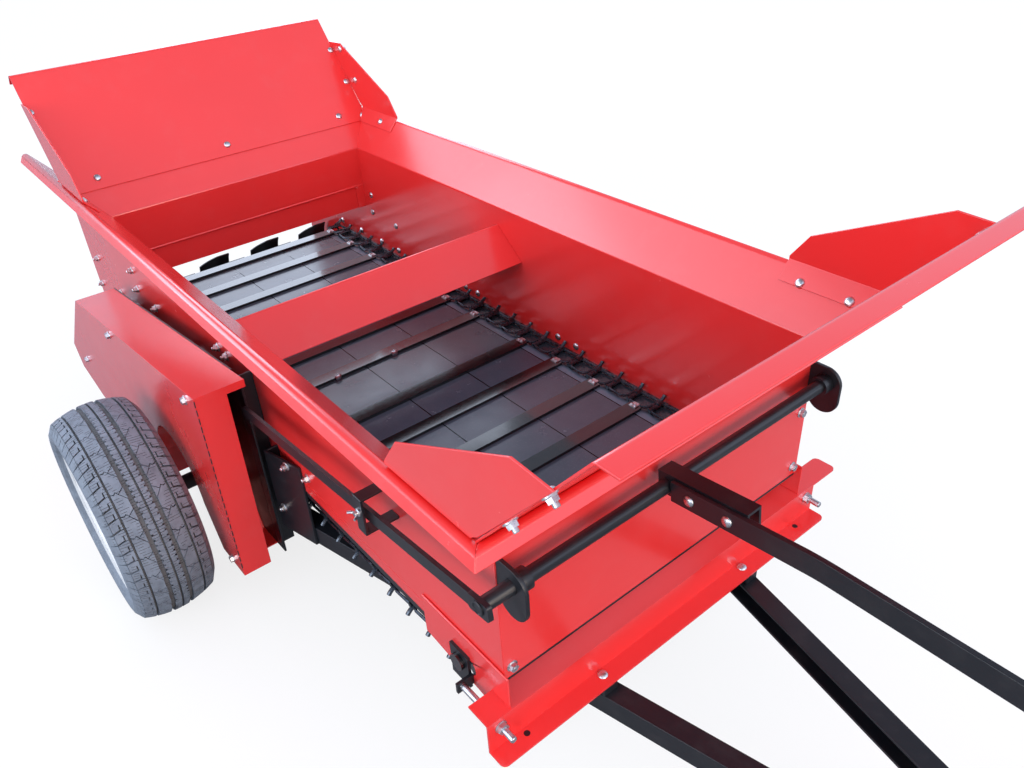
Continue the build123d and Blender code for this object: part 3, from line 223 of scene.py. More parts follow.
def start_material(name):
    """A new material and its empty node tree."""
    material = bpy.data.materials.new(name)
    material.use_nodes = True
    material.node_tree.nodes.clear()
    return material, material.node_tree


def shade(colour, factor):
    """A colour made darker or lighter by a factor."""
    return tuple(min(1.0, c * factor) for c in colour[:3]) + (1.0,)


def red_powder_coat(tree, place):
    """Gloss polyester powder coat baked on sheet steel."""
    # The eye sees a deep even red, a soft orange-peel ripple in its reflections and a faint dusty bloom
    base = colours().red_coat
    tone = mix(tree, noise(tree, place, 240, 4.0), shade(base, 0.95), shade(base, 1.05))
    # Dust bloom in patches about a hand wide
    bloom = noise(tree, place, 90, 6.0, 0.65)
    # Orange peel is about 2 mm across; drawn at 14 mm so that it shows
    peel = noise(tree, place, 14, 0.0)
    return {
        "Base Color": mix(tree, remap(tree, bloom, 0.52, 0.85, 0.0, 0.05), tone, linear("#D98A86")),
        "Roughness": remap(tree, bloom, 0.3, 0.8, 0.20, 0.29),
        "IOR": 1.5,
        "Coat Weight": 0.6,
        "Coat Roughness": 0.16,
        "Normal": bumps(tree, peel, 0.04, 0.4),
    }


def black_powder_coat(tree, place):
    """Satin black powder coat on the frame steel."""
    # Near-black with a broad soft highlight, a fine grain and a little dust
    grain = noise(tree, place, 5, 2.0)
    dust = noise(tree, place, 70, 6.0, 0.7)
    return {
        "Base Color": mix(tree, remap(tree, dust, 0.5, 0.9, 0.0, 0.12), colours().black_coat, linear("#6E6A66")),
        "Roughness": remap(tree, dust, 0.3, 0.8, 0.30, 0.46),
        "IOR": 1.5,
        "Normal": bumps(tree, grain, 0.10, 0.5),
    }


def slat_enamel(tree, place):
    """Gloss black enamel on the apron's slats and rollers."""
    # Almost a mirror at low angles, with fine rubbing marks along the travel
    marks = noise(tree, stretched(tree, place, 0.12), 5, 4.0)
    return {
        "Base Color": mix(tree, marks, linear("#0B0A0C"), linear("#121113")),
        "Roughness": remap(tree, marks, 0.3, 0.75, 0.10, 0.20),
        "IOR": 1.52,
        "Coat Weight": 0.4,
        "Coat Roughness": 0.08,
    }


def board_plastic(tree, place):
    """Extruded dark polyethylene floor boards."""
    # Slate grey with a low sheen, lengthwise draw lines, pale specks and dark seams
    base = colours().board
    lines = noise(tree, stretched(tree, place, 0.05), 6, 3.0)
    cloud = noise(tree, place, 80, 7.0, 0.7)
    grit = noise(tree, place, 4, 2.0)
    mottle = mix(tree, cloud, shade(base, 0.75), shade(base, 1.3))
    specked = mix(tree, remap(tree, grit, 0.62, 0.78, 0.0, 0.35), mottle, linear("#6F6C70"))
    # The edge boards have a paler bluish strip beside the chains, and painted shade under the chains out to the
    # walls
    across = add_node(tree, "SeparateXYZ", {0: place}).outputs["Y"]
    off_middle = maths(tree, "ABSOLUTE", across)
    pale_strip = remap(tree, off_middle, (BOARD_SEAM - 1) * MM, (BOARD_SEAM + 2) * MM, 0.0, 0.55)
    chain_shade = remap(tree, off_middle, (BOARD_SEAM + 16) * MM, (BOARD_SEAM + 28) * MM, 0.0, 0.85)
    laned = mix(tree, chain_shade, mix(tree, pale_strip, specked, linear("#66717F")), linear("#16171A"))
    from_seam = maths(tree, "SUBTRACT", across, BOARD_SEAM * MM)
    seam = maths(tree, "LESS_THAN", maths(tree, "PINGPONG", from_seam, BOARD_WIDTH / 2 * MM), 1.6 * MM)
    return {
        "Base Color": mix(tree, seam, laned, linear("#08090A")),
        "Roughness": remap(tree, cloud, 0.3, 0.75, 0.20, 0.30),
        "IOR": 1.51,
        "Normal": bumps(tree, lines, 0.12, 0.5),
    }


def zinc_plating(tree, place):
    """Bright zinc plating on bolts, nuts and rods."""
    # Silvery with a bluish cloud and small dull spots
    cloud = noise(tree, place, 9, 4.0)
    return {
        "Base Color": mix(tree, cloud, linear("#AEB2B8"), linear("#E2E3E2")),
        "Metallic": 1.0,
        "Roughness": remap(tree, cloud, 0.3, 0.75, 0.22, 0.42),
    }


def rim_enamel(tree, place):
    """White wheel enamel."""
    # Clean gloss white, greyed in patches by road film
    film = noise(tree, place, 45, 6.0, 0.65)
    return {
        "Base Color": mix(tree, remap(tree, film, 0.45, 0.85, 0.0, 0.30), colours().rim_white, linear("#A9A59C")),
        "Roughness": remap(tree, film, 0.3, 0.8, 0.24, 0.45),
        "IOR": 1.5,
    }


def tyre_rubber(tree, place):
    """Moulded tyre rubber with road dust."""
    # Grey on the tread's faces, soil in the grooves, cut by fine sipes drawn as dark lines of painted shade, and
    # speckled with grit
    hub = {0: place, 1: tuple(AXLE * MM)}
    from_hub = add_node(tree, "VectorMath", hub, operation="SUBTRACT").outputs[0]
    in_plane = {0: from_hub, 1: (1.0, 0.0, 1.0)}
    flat = add_node(tree, "VectorMath", in_plane, operation="MULTIPLY").outputs[0]
    radius = add_node(tree, "VectorMath", {0: flat}, operation="LENGTH").outputs["Value"]
    axes = add_node(tree, "SeparateXYZ", {0: from_hub}).outputs
    on_tread = maths(tree, "GREATER_THAN", radius, (TYRE_R - 27.0) * MM)
    # Sipes, four to a pitch round the tread and broken here and there, painted as dark lines of shade
    angle = maths(tree, "ARCTAN2", axes["X"], axes["Z"])
    around = maths(tree, "MULTIPLY", angle, sizes().tread_pitches * 4 / (2 * math.pi))
    sipe = maths(tree, "LESS_THAN", maths(tree, "FRACT", around), 0.15)
    unbroken = maths(tree, "GREATER_THAN", noise(tree, place, 16, 0.0), 0.5)
    sipe_shade = maths(tree, "MULTIPLY", maths(tree, "MULTIPLY", sipe, unbroken), on_tread)
    # Dust, and grit about 7 mm apart
    film = noise(tree, place, 38, 7.0, 0.7)
    dusted = mix(tree, remap(tree, film, 0.30, 0.80, 0.12, 0.62), colours().rubber, colours().dust)
    grit = add_node(tree, "TexVoronoi", {"Vector": place, "Scale": 1.0 / (7 * MM)}).outputs["Distance"]
    gritty = mix(tree, remap(tree, grit, 0.10, 0.04, 0.0, 0.7), dusted, linear("#B5AD9C"))
    # Tan soil lies on the groove floors, which follow the crown of the tread
    off_crown = maths(tree, "SUBTRACT", maths(tree, "ABSOLUTE", axes["Y"]), WHEEL_Y * MM)
    fall = maths(tree, "MULTIPLY", maths(tree, "POWER", off_crown, 2.0), CROWN_DROP / CROWN_HALF**2 / MM)
    crowned = maths(tree, "ADD", radius, fall)
    low = remap(tree, crowned, (TYRE_R - 5.5) * MM, (TYRE_R - 7.5) * MM, 0.0, 0.6)
    soiled = mix(tree, maths(tree, "MULTIPLY", low, on_tread), gritty, linear("#5A5044"))
    return {
        "Base Color": mix(tree, sipe_shade, soiled, linear("#1B1D20")),
        "Roughness": 0.74,
        "IOR": 1.52,
        "Normal": bumps(tree, noise(tree, place, 3, 3.0), 0.25, 0.4),
    }


def link_iron(tree, place):
    """Oiled dark iron of the apron's links."""
    # Dark grey metal, polished in patches
    cloud = noise(tree, place, 14, 5.0)
    return {
        "Base Color": mix(tree, cloud, linear("#1E2227"), linear("#6A727C")),
        "Metallic": 0.85,
        "Roughness": remap(tree, cloud, 0.3, 0.75, 0.16, 0.40),
    }


FINISHES = {
    "red_coat": ("red gloss powder coat", red_powder_coat),
    "black_coat": ("black satin powder coat", black_powder_coat),
    "slat_steel": ("black gloss enamel", slat_enamel),
    "floor_board": ("extruded dark polyethylene", board_plastic),
    "zinc_plate": ("bright zinc plating", zinc_plating),
    "white_rim": ("white wheel enamel", rim_enamel),
    "tyre": ("moulded tyre rubber", tyre_rubber),
    "chain_steel": ("oiled dark iron", link_iron),
}
made_finishes = {}


def finish_of(slot):
    """The material of one of the record's slots."""
    if slot not in made_finishes:
        name, recipe = FINISHES[slot]
        material, tree = start_material(name)
        place = add_node(tree, "TexCoord").outputs["Object"]
        shader = add_node(tree, "BsdfPrincipled", recipe(tree, place))
        add_node(tree, "OutputMaterial", {"Surface": shader.outputs["BSDF"]})
        made_finishes[slot] = material
    return made_finishes[slot]


def studio_floor():
    """Matt pale studio floor."""
    # A white ground that keeps the machine's soft shadow
    material, tree = start_material("matt studio paint")
    seen = add_node(tree, "LightPath").outputs["Is Camera Ray"]
    tone = mix(tree, seen, linear("#A0A0A0"), colours().floor)
    matt = add_node(tree, "BsdfDiffuse", {"Color": tone, "Roughness": 0.5}).outputs[0]
    glow = add_node(tree, "Emission", {"Color": (1.0, 1.0, 1.0, 1.0), "Strength": 1.0}).outputs[0]
    both = add_node(tree, "MixShader", {0: maths(tree, "MULTIPLY", seen, 0.78), 1: matt, 2: glow})
    add_node(tree, "OutputMaterial", {"Surface": both.outputs[0]})
    return material


# Places: matrices from local millimetres to the frame


def moved(point):
    """Place at a point, without a turn."""
    return Matrix.Translation(Vector(point) * MM) @ Matrix.Scale(MM, 4)


def at(point, facing):
    """Place at a point, with Z along a direction."""
    turn = Vector(facing).to_track_quat("Z", "Y").to_matrix().to_4x4()
    return Matrix.Translation(Vector(point) * MM) @ turn @ Matrix.Scale(MM, 4)


def on_skin(nodes, point, facing):
    """Place on the first of some CAD nodes that a line against the facing meets."""
    facing = Vector(facing).normalized()
    start = Vector(point) * MM + facing * 0.06
    best = None
    for node in nodes:
        hit, spot, normal, _ = frame["nodes"][node].ray_cast(start, -facing)
        if hit and (best is None or (spot - start).length < (best[0] - start).length):
            best = (spot, normal)
    if best is None:
        raise RuntimeError(f"no skin of {nodes} behind {point}")
    spot, normal = best
    if normal.dot(facing) < 0:
        normal = -normal
    return at(spot / MM, normal)


def box_of(node):
    """Lowest and highest corner of a CAD node, in millimetres."""
    return [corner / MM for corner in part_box(node)]


# Mesh tools: each adds to an open bmesh, in millimetres, at a place


def on_circle(radius, turn):
    """Point (x, y) on a circle, its turn in radians."""
    return radius * math.cos(turn), radius * math.sin(turn)


def circle(radius, count):
    """Points (x, y) spread evenly round a circle."""
    return [on_circle(radius, 2 * math.pi * n / count) for n in range(count)]


def hexagon(across):
    """Outline of a hexagon, from its width across flats."""
    return circle(across / math.sqrt(3), 6)


def rectangle(x, y, far_x, far_y):
    """Outline of a rectangle between two opposite corners."""
    return [(x, y), (far_x, y), (far_x, far_y), (x, far_y)]


def turned(bm, place, profile, segments):
    """A turned form: (radius, height) pairs round the place's Z."""
    rings = []
    for radius, height in profile:
        spots = circle(radius, segments) if radius else [(0, 0)]
        rings.append([bm.verts.new(place @ Vector((x, y, height))) for x, y in spots])
    for low, high in zip(rings, rings[1:]):
        for n in range(segments):
            a, b = low[n % len(low)], low[(n + 1) % len(low)]
            c, d = high[(n + 1) % len(high)], high[n % len(high)]
            bm.faces.new([v for i, v in enumerate((a, b, c, d)) if v not in (a, b, c, d)[:i]])


def skinned(bm, rings, closed=False):
    """Skin over rings of vertices, with end caps unless the rings close on themselves."""
    for low, high in zip(rings, rings[1:] + rings[:1] if closed else rings[1:]):
        for n in range(len(low)):
            m = (n + 1) % len(low)
            bm.faces.new((low[n], low[m], high[m], high[n]))
    if not closed:
        bm.faces.new(rings[0][::-1])
        bm.faces.new(rings[-1])


def middle_of(outline):
    """Mean of an outline's points."""
    return sum((Vector(p) for p in outline), Vector((0, 0))) / len(outline)


def extruded(bm, place, outline, low, high, inset=0.0):
    """A prism on an outline of (x, y) pairs, its top drawn in by an inset."""
    centre = middle_of(outline)
    base = [bm.verts.new(place @ Vector((x, y, low))) for x, y in outline]
    top = []
    for x, y in outline:
        step = (centre - Vector((x, y))).normalized() * inset
        top.append(bm.verts.new(place @ Vector((x + step.x, y + step.y, high))))
    skinned(bm, [base, top])


def bar(bm, place, path, radius, segments=8, closed=False):
    """A round bar along a path of points."""
    points = [Vector(p) for p in path]
    rings = []
    for n, point in enumerate(points):
        before = points[n - 1] if n or closed else point
        after = points[(n + 1) % len(points)] if n + 1 < len(points) or closed else point
        ahead = (after - before).normalized()
        side = ahead.cross(Vector((0, 0, 1)))
        if side.length < 0.05:
            side = ahead.cross(Vector((0, 1, 0)))
        side.normalize()
        up = side.cross(ahead)
        rings.append([bm.verts.new(place @ (point + side * x + up * y)) for x, y in circle(radius, segments)])
    skinned(bm, rings, closed)


def dome_head(bm, nodes, point, facing):
    """Carriage bolt head on the skin of some CAD nodes."""
    r = sizes().bolt_head / MM / 2
    dome = [(r * 1.02, -1.0), (r * 1.02, 0.6), (r * 0.95, 1.8), (r * 0.74, 3.7), (r * 0.4, 4.9), (0, 5.3)]
    turned(bm, on_skin(nodes, point, facing), dome, 18)


def hex_nut(bm, nodes, point, facing, stud=7.0):
    """Flange nut with the end of its stud, on the skin of some CAD nodes."""
    r = sizes().bolt_head / MM / 2
    place = on_skin(nodes, point, facing)
    turned(bm, place, [(r * 1.12, -1.0), (r * 1.12, 1.4), (r * 0.9, 2.4), (r * 0.5, 2.4)], 18)
    extruded(bm, place, hexagon(r * 1.55), 1.8, 9.2, 0.5)
    turned(bm, place, [(r * 0.46, 8.0), (r * 0.46, 8.0 + stud), (r * 0.36, 9.0 + stud), (0, 9.0 + stud)], 12)


def dark_hole(bm, nodes, point, facing, radius):
    """Black disc of painted shade at the mouth of an open hole in the skin of some CAD nodes."""
    turned(bm, on_skin(nodes, point, facing), [(radius, -0.5), (radius, 0.25), (0, 0.25)], 16)


def piece(name, bm, slot, body="chassis", sharp=35.0):
    """Turn an open bmesh into a finished piece that rides on a body."""
    bmesh.ops.recalc_face_normals(bm, faces=bm.faces)
    for face in bm.faces:
        face.smooth = True
    for edge in bm.edges:
        if len(edge.link_faces) != 2 or edge.calc_face_angle() > math.radians(sharp):
            edge.smooth = False
    mesh = bpy.data.meshes.new(name)
    bm.to_mesh(mesh)
    bm.free()
    mesh.materials.append(finish_of(slot))
    made = bpy.data.objects.new(name, mesh)
    bpy.context.scene.collection.objects.link(made)
    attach(made, body)
    return made


def round_edges(thing):
    """Soften the sharp edges of a coated sheet."""
    weld = thing.modifiers.new("joined corners", "WELD")
    weld.merge_threshold = 0.01 * MM
    bevel = thing.modifiers.new("rounded edges", "BEVEL")
    bevel.width = sizes().edge_round
    bevel.segments = 2
    bevel.limit_method = "ANGLE"
    bevel.angle_limit = math.radians(38.0)
    bevel.harden_normals = True


# Operators, one for each piece or group of pieces


class TOPDRESSER_OT_coat_frame(bpy.types.Operator):
    """Give every CAD node its finish, with softened edges on the coated ones"""

    bl_idname = "topdresser.coat_frame"
    bl_label = "Coat the frame"

    def execute(self, context):
        for entry in frame["record"]["subparts"]:
            node = frame["nodes"][entry["node"]]
            node.data.materials.clear()
            node.data.materials.append(finish_of(entry["material_slot"]))
            # The rear panel's tight fold is left as it is
            if entry["material_slot"] in ("red_coat", "black_coat") and entry["node"] != "spill_panel_rear":
                round_edges(node)
        return {"FINISHED"}


def crown_fall(y):
    """Fall of the tread's crown at a place across it."""
    return CROWN_DROP * (y / CROWN_HALF) ** 2


def wheel_point(turn, radius, y):
    """Point on a wheel, from its turn in radians, its radius and its place across."""
    return Vector((radius * math.sin(turn), y, radius * math.cos(turn)))


def tread_point(turn, y, lift):
    """Point on a tread, lifted from the groove floor."""
    return wheel_point(turn, TYRE_R - sizes().tread_depth / MM - crown_fall(y) + lift, y)


def tread_block(bm, place, outline, step):
    """One tread block: outline in pitches round and millimetres across, with drawn-in top edges."""
    depth = sizes().tread_depth / MM
    centre = middle_of(outline)
    foot, top = [], []
    for s, y in outline:
        foot.append(bm.verts.new(place @ tread_point(s * step, y, -1.0)))
        s_in, y_in = s + (centre.x - s) * 0.05, y + (centre.y - y) * 0.06
        top.append(bm.verts.new(place @ tread_point(s_in * step, y_in, depth)))
    bm.faces.new(top)
    for n in range(len(outline)):
        m = (n + 1) % len(outline)
        bm.faces.new((foot[n], foot[m], top[m], top[n]))


class TOPDRESSER_OT_tyres(bpy.types.Operator):
    """Road tyres with a ribbed and blocked tread, in place of the plain CAD tyres"""

    bl_idname = "topdresser.tyres"
    bl_label = "Tyres"

    # Half of the carcass, from the bead to the edge of the tread: drop below the tread's middle, place across
    carcass = (
        (73, 70), (70, 80), (67, 88), (64, 92), (63, 94.5), (59, 96), (54, 99), (50, 100.5),
        (45, 100), (40, 98), (34, 94), (29, 89),
    )
    groove_floor = (84, 70, 56, 40, 20, 0)

    # Tread blocks, pitches round and millimetres across: shoulder blocks parted by hooked grooves,
    # broad ribs cut by forked sipes, narrow centre ribs with notched edges
    shoulder = (
        (0.0, 61.5), (1.0, 61.5), (1.0, 67), (0.5, 67), (0.5, 70), (0.94, 70),
        (1.12, CROWN_HALF), (0.24, CROWN_HALF), (0.06, 70), (0.06, 67), (0.0, 67),
    )
    rib = (
        ((0.22, 41), (-0.2, 27), (0.85, 27)),
        (
            (0.22, 41), (0.85, 27), (1.8, 27), (2.22, 41), (1.95, 46), (2.12, 51), (2.0, 57.5),
            (0.95, 57.5), (0.0, 57.5), (0.12, 51), (-0.05, 46),
        ),
    )
    centre = ((0.0, 2), (0.5, 2), (0.5, 13), (0.36, 13), (0.34, 17.5), (0.0, 17.5))
    # Blocks of a row, pitches from one to the next, shift between the two halves of the tread
    rows = (((shoulder,), 1, 0.5), (rib, 2, 0.9), ((centre,), 0.5, 0.0))

    # Outer and lower edge of a shoulder lug: drop below the tread's middle, place across
    lug_edges = ((38, 98.5), (46, 98.5))
    lug_runs = (0.24, 1.12)

    def add_lug(self, bm, place, first, edge, step):
        """Lug of a shoulder block, running down over the edge of the tread."""
        turns = [(first + run) * step for run in self.lug_runs]
        y = CROWN_HALF * edge
        points = [tread_point(turn, y, sizes().tread_depth / MM) for turn in turns]
        for drop, reach in self.lug_edges:
            points += [wheel_point(turn, TYRE_R - drop, reach * edge) for turn in turns]
        points += [tread_point(turn, y - 8 * edge, -3.0) for turn in turns]
        v = [bm.verts.new(place @ point) for point in points]
        for face in ((0, 1, 3, 2), (2, 3, 5, 4), (0, 2, 4, 6), (1, 7, 5, 3)):
            bm.faces.new([v[i] for i in face])

    def execute(self, context):
        pitches = sizes().tread_pitches
        step = 2 * math.pi / pitches
        depth = sizes().tread_depth / MM
        half = [(TYRE_R - drop, -y) for drop, y in self.carcass]
        half += [(TYRE_R - depth - crown_fall(y), -y) for y in self.groove_floor]
        profile = half + [(r, -y) for r, y in reversed(half[:-1])]
        for name, side in SIDES:
            bm = bmesh.new()
            place = moved((AXLE.x, side * WHEEL_Y, AXLE.z))
            turned(bm, place @ Matrix.Rotation(-math.pi / 2, 4, "X"), profile, 144)
            for edge in (-1, 1):
                for outlines, gap, shift in self.rows:
                    for n in range(int(pitches / gap)):
                        first = n * gap + (0.0 if edge < 0 else shift)
                        for outline in outlines:
                            tread_block(bm, place, [(first + run, y * edge) for run, y in outline], step)
                for n in range(pitches):
                    self.add_lug(bm, place, n + (0.0 if edge < 0 else 0.5), edge, step)
            made = piece(f"tyre_tread_{name}", bm, "tyre", f"wheel_{name}", sharp=28.0)
            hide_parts(f"tyre_{name}")
        return {"FINISHED"}


class TOPDRESSER_OT_wheel_hardware(bpy.types.Operator):
    """Rim lips, wheel nuts, painted shade in the hand holes, valves and axle nuts"""

    bl_idname = "topdresser.wheel_hardware"
    bl_label = "Wheel hardware"

    # Rolled edge of the rim: radius, reach from the wheel's middle
    rim_lip = (
        (186, 83), (204, 84), (210, 86), (214, 85.5), (215, 82), (213, 78), (206, 75), (188, 74), (186, 83),
    )

    # Radii of the circles that the parts sit on, and the reach of the axle's end from the wheel's middle
    nut_circle = 66
    hole_circle = 128
    valve_circle = 142
    axle_end = 66.0

    @staticmethod
    def disc_point(side, radius, turn):
        """Point in front of a wheel's disc."""
        x, z = on_circle(radius, turn)
        return (AXLE.x + x, side * (WHEEL_Y + 60), AXLE.z + z)

    def execute(self, context):
        for name, side in SIDES:
            rim, wheel, out = [f"wheel_rim_{name}"], f"wheel_{name}", (0, side, 0)
            bm = bmesh.new()
            for n in range(5):
                place = on_skin(rim, self.disc_point(side, self.nut_circle, 2 * math.pi * n / 5 + 0.3), out)
                turned(bm, place, [(13, -1), (13, 1.5), (9, 3)], 16)
                extruded(bm, place, hexagon(19), 2, 14, 0.6)
                turned(bm, place, [(7.5, 13), (6.5, 17), (3, 19), (0, 19.4)], 12)
            piece(f"wheel_nuts_{name}", bm, "zinc_plate", wheel)
            bm = bmesh.new()
            hub = moved((AXLE.x, side * WHEEL_Y, AXLE.z))
            for turn in (-math.pi / 2, math.pi / 2):
                turned(bm, hub @ Matrix.Rotation(turn, 4, "X"), self.rim_lip, 96)
            piece(f"rim_lips_{name}", bm, "white_rim", wheel)
            # Black discs of painted shade in the wheel disc's hand holes
            bm = bmesh.new()
            for n in range(8):
                point = self.disc_point(side, self.hole_circle, 2 * math.pi * (n + 0.5) / 8)
                dark_hole(bm, rim, point, out, 9.0)
            piece(f"hand_holes_{name}", bm, "black_coat", wheel)
            bm = bmesh.new()
            valve = on_skin(rim, self.disc_point(side, self.valve_circle, 0.0), out)
            turned(bm, valve, [(7, -1), (7, 2), (4.5, 6), (4, 24), (5, 25), (5, 33), (3.5, 35), (0, 35)], 12)
            piece(f"wheel_valve_{name}", bm, "black_coat", wheel)
            bm = bmesh.new()
            end = at((AXLE.x, side * (WHEEL_Y + self.axle_end), AXLE.z), out)
            turned(bm, end, [(26, -1), (26, 1.6), (15, 1.6)], 24)
            extruded(bm, end, hexagon(36), 1, 15, 0.8)
            turned(bm, end, [(12, 14), (12, 19), (10, 20), (0, 20)], 16)
            bar(bm, end, [(-17, 3, 17), (-8, 0, 17), (8, 0, 17), (16, 2, 17), (18, 7, 16)], 1.8, 6)
            piece(f"axle_nut_{name}", bm, "zinc_plate")
        return {"FINISHED"}


def apron_place(travel, y):
    """Matrix of a place on the apron's loop: X along the chain, Z out of the loop."""
    run, arc = IDLER_X - DRIVE_X, math.pi * APRON_RADIUS
    lower, travel = divmod(travel % (2 * run + 2 * arc), run + arc)
    turn = max(0.0, travel - run) / APRON_RADIUS
    x = DRIVE_X + min(travel, run) + APRON_RADIUS * math.sin(turn)
    z = SHAFT_Z + APRON_RADIUS * math.cos(turn)
    # The lower half of the loop is the upper one turned about its middle
    if lower:
        x, z, turn = DRIVE_X + IDLER_X - x, 2 * SHAFT_Z - z, turn + math.pi
    return Matrix.Translation(Vector((x, y, z)) * MM) @ Matrix.Rotation(turn, 4, "Y") @ Matrix.Scale(MM, 4)


class TOPDRESSER_OT_apron(bpy.types.Operator):
    """Hooked apron links with upturned fingers, and the lugs that carry the slats"""

    bl_idname = "topdresser.apron"
    bl_label = "Apron chains"

    # Two bolts on the edge of the slat beside the chain's splice
    slat_bolts = ((-372, -138, 478), (-369, 38, 478))

    @staticmethod
    def add_link(bm, place, end, side):
        """One link, its end half a pitch from its middle."""
        wire = sizes().link_wire / MM / 2
        rise = sizes().finger_rise / MM
        # Side bars: straight by the wall, bowed on the inner side
        wall = [(-end + 4, 22, 0), (end - 18, 24, 0), (end - 9, 20, 1), (end - 5, 10, 2)]
        inner = [
            (-end + 4, -18, 0), (-end + 16, -23, 0), (end - 24, -25, 0),
            (end - 13, -21, 1), (end - 7, -10, 2), (end - 5, 10, 2),
        ]
        # Cross barrel and the finger that stands up by the wall
        barrel = [(-end + 4, -24, 0.5), (-end + 4, 25, 0.5)]
        finger = [
            (-end + 4, 6, 5), (-end + 2, 16, 7), (-end + 1, 26, rise * 0.55),
            (-end + 1, 32, rise * 0.85), (-end + 1, 34, rise),
        ]
        for path, radius in ((wall, wire), (inner, wire), (barrel, 6.0), (finger, 5.0)):
            bar(bm, place, [(x, y * side, z) for x, y, z in path], radius)

    def execute(self, context):
        pitch = (2 * (IDLER_X - DRIVE_X) + 2 * math.pi * APRON_RADIUS) / LINK_COUNT
        bm = bmesh.new()
        for _, side in SIDES:
            for n in range(LINK_COUNT):
                self.add_link(bm, apron_place(n * pitch, side * LANE_Y), pitch / 2, side)
        links = piece("apron_links", bm, "chain_steel")
        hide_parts("apron_chains")

        bm = bmesh.new()
        for number in range(SPLICE_LINK + 3, SPLICE_LINK + LINK_COUNT + 1, 2):
            for _, side in SIDES:
                place = apron_place(number * pitch, side * (LANE_Y - 33))
                extruded(bm, place, [(-11, -9), (11, -9), (9, 11), (-9, 11)], 1.6, 4.6, 0.8)
                for run in (-5.5, 5.5):
                    rivet = place @ Matrix.Translation((run, -2, 4.4))
                    turned(bm, rivet, [(4.6, -0.5), (4.3, 1.6), (2.8, 2.9), (0, 3.3)], 10)
        for point in self.slat_bolts:
            dome_head(bm, ["apron_slats"], point, (1, 0, 0))
        piece("slat_lugs", bm, "zinc_plate")
        return {"FINISHED"}


class TOPDRESSER_OT_fasteners(bpy.types.Operator):
    """Carriage bolts and nuts of hopper, panels, frame and cover"""

    bl_idname = "topdresser.fasteners"
    bl_label = "Fasteners"

    # Spill panels, y and z: a row along the bottom and two bolts up each edge
    panel_bolts = ((-390, 891), (0, 891), (390, 891), (-474, 974), (474, 974), (-474, 1064), (474, 1064))

    # Gussets: runs from the end wall, y and z of the bolts on the flare; run and z of those up the rear ones
    flare_bolts = {"rear": ((65, -58), 469, 882), "front": ((25, -86), 461, 872)}
    gusset_bolts = {"rear": ((172, 1074), (100, 986)), "front": ()}
    gusset_y = 487

    # Side walls, x and z: the low row that carries the floor rails, with the bolts behind it; nuts alone
    low_row = tuple((x, 492) for x in (-1289, -1156, -1021, -914, -537, -477, -116, -44))
    wall_bolts = (*low_row, (-1055, 589), (-912, 580), (-1051, 650))
    wall_nuts = ((-1468, 551), (-1530, 438), (-432, 661), (-382, 658))
    hanger_nuts = ((AXLE.x - 60, 560), (AXLE.x + 60, 560))

    # Front wall's nuts, z on each side; drive cover's nuts, x and z
    front_y = 386
    front_nuts = {"left": (498, 639), "right": (498,)}
    cover_nuts = ((-818, 596), (-1325, 294), (-226, 684), (-243, 206))

    # Crossmember, x; its bolts and open holes, y
    crossmember_x = 675
    crossmember_bolt = 203
    crossmember_hole = 387

    def execute(self, context):
        bm = bmesh.new()
        for end, wall_x, out in ENDS:
            panel = f"spill_panel_{end}"
            for y, z in self.panel_bolts:
                point = (wall_x + out * (z - BEND_Z) * FLARE_LEAN, y, z)
                dome_head(bm, [panel], point, (-out, 0, FLARE_LEAN))
                hex_nut(bm, [panel, f"hopper_{end}"], point, (out, 0, -FLARE_LEAN))
            runs, flare_y, flare_z = self.flare_bolts[end]
            for name, side in SIDES:
                gusset = f"gusset_{end}_{name}"
                for run in runs:
                    point = (wall_x + out * run, side * flare_y, flare_z)
                    dome_head(bm, [gusset, f"hopper_side_{name}"], point, (0, -side, FLARE_LEAN))
                for run, z in self.gusset_bolts[end]:
                    point = (wall_x + out * run, side * self.gusset_y, z)
                    dome_head(bm, [gusset], point, (0, -side, 0))
                    if side > 0:
                        hex_nut(bm, [gusset], point, (0, side, 0))
        for name, side in SIDES:
            wall = f"hopper_side_{name}"
            backs = [wall, f"axle_hanger_{name}", f"floor_rail_{name}", f"tongue_bracket_{name}"]
            for x, z in self.wall_bolts:
                dome_head(bm, [wall], (x, side * WALL_Y, z), (0, -side, 0))
                hex_nut(bm, backs, (x, side * WALL_Y, z), (0, side, 0))
            for x, z in self.wall_nuts:
                hex_nut(bm, [wall], (x, side * WALL_Y, z), (0, side, 0))
            for x, z in self.hanger_nuts:
                hex_nut(bm, backs, (x, side * WALL_Y, z), (0, side, 0))
            for z in self.front_nuts[name]:
                hex_nut(bm, ["hopper_front"], (FRONT_WALL_X, side * self.front_y, z), (1, 0, 0), 0.5)
            # Crossmember over the tongue bars
            dome_head(bm, ["front_crossmember"], (self.crossmember_x, side * self.crossmember_bolt, 350), UP)
            # Hitch plates on the bars
            for x in (1345, 1400):
                y = 8.0 + (HITCH_X - x) * TONGUE_SPREAD
                hex_nut(bm, ["hitch_clevis"], (x, side * y, 330), UP)
            hex_nut(bm, [f"tongue_bracket_{name}"], (-165, side * 438, 345), (0, side, 0), 4.0)
        for x, z in self.cover_nuts:
            hex_nut(bm, ["drive_cover"], (x, COVER_Y, z), (0, -1, 0), 0.5)
        piece("carriage_bolts", bm, "zinc_plate")

        # Black discs of painted shade in the crossmember's open holes
        bm = bmesh.new()
        for y in (-self.crossmember_hole, self.crossmember_hole):
            dark_hole(bm, ["front_crossmember"], (self.crossmember_x, y, 350), UP, 6.0)
        piece("open_holes", bm, "black_coat")
        return {"FINISHED"}


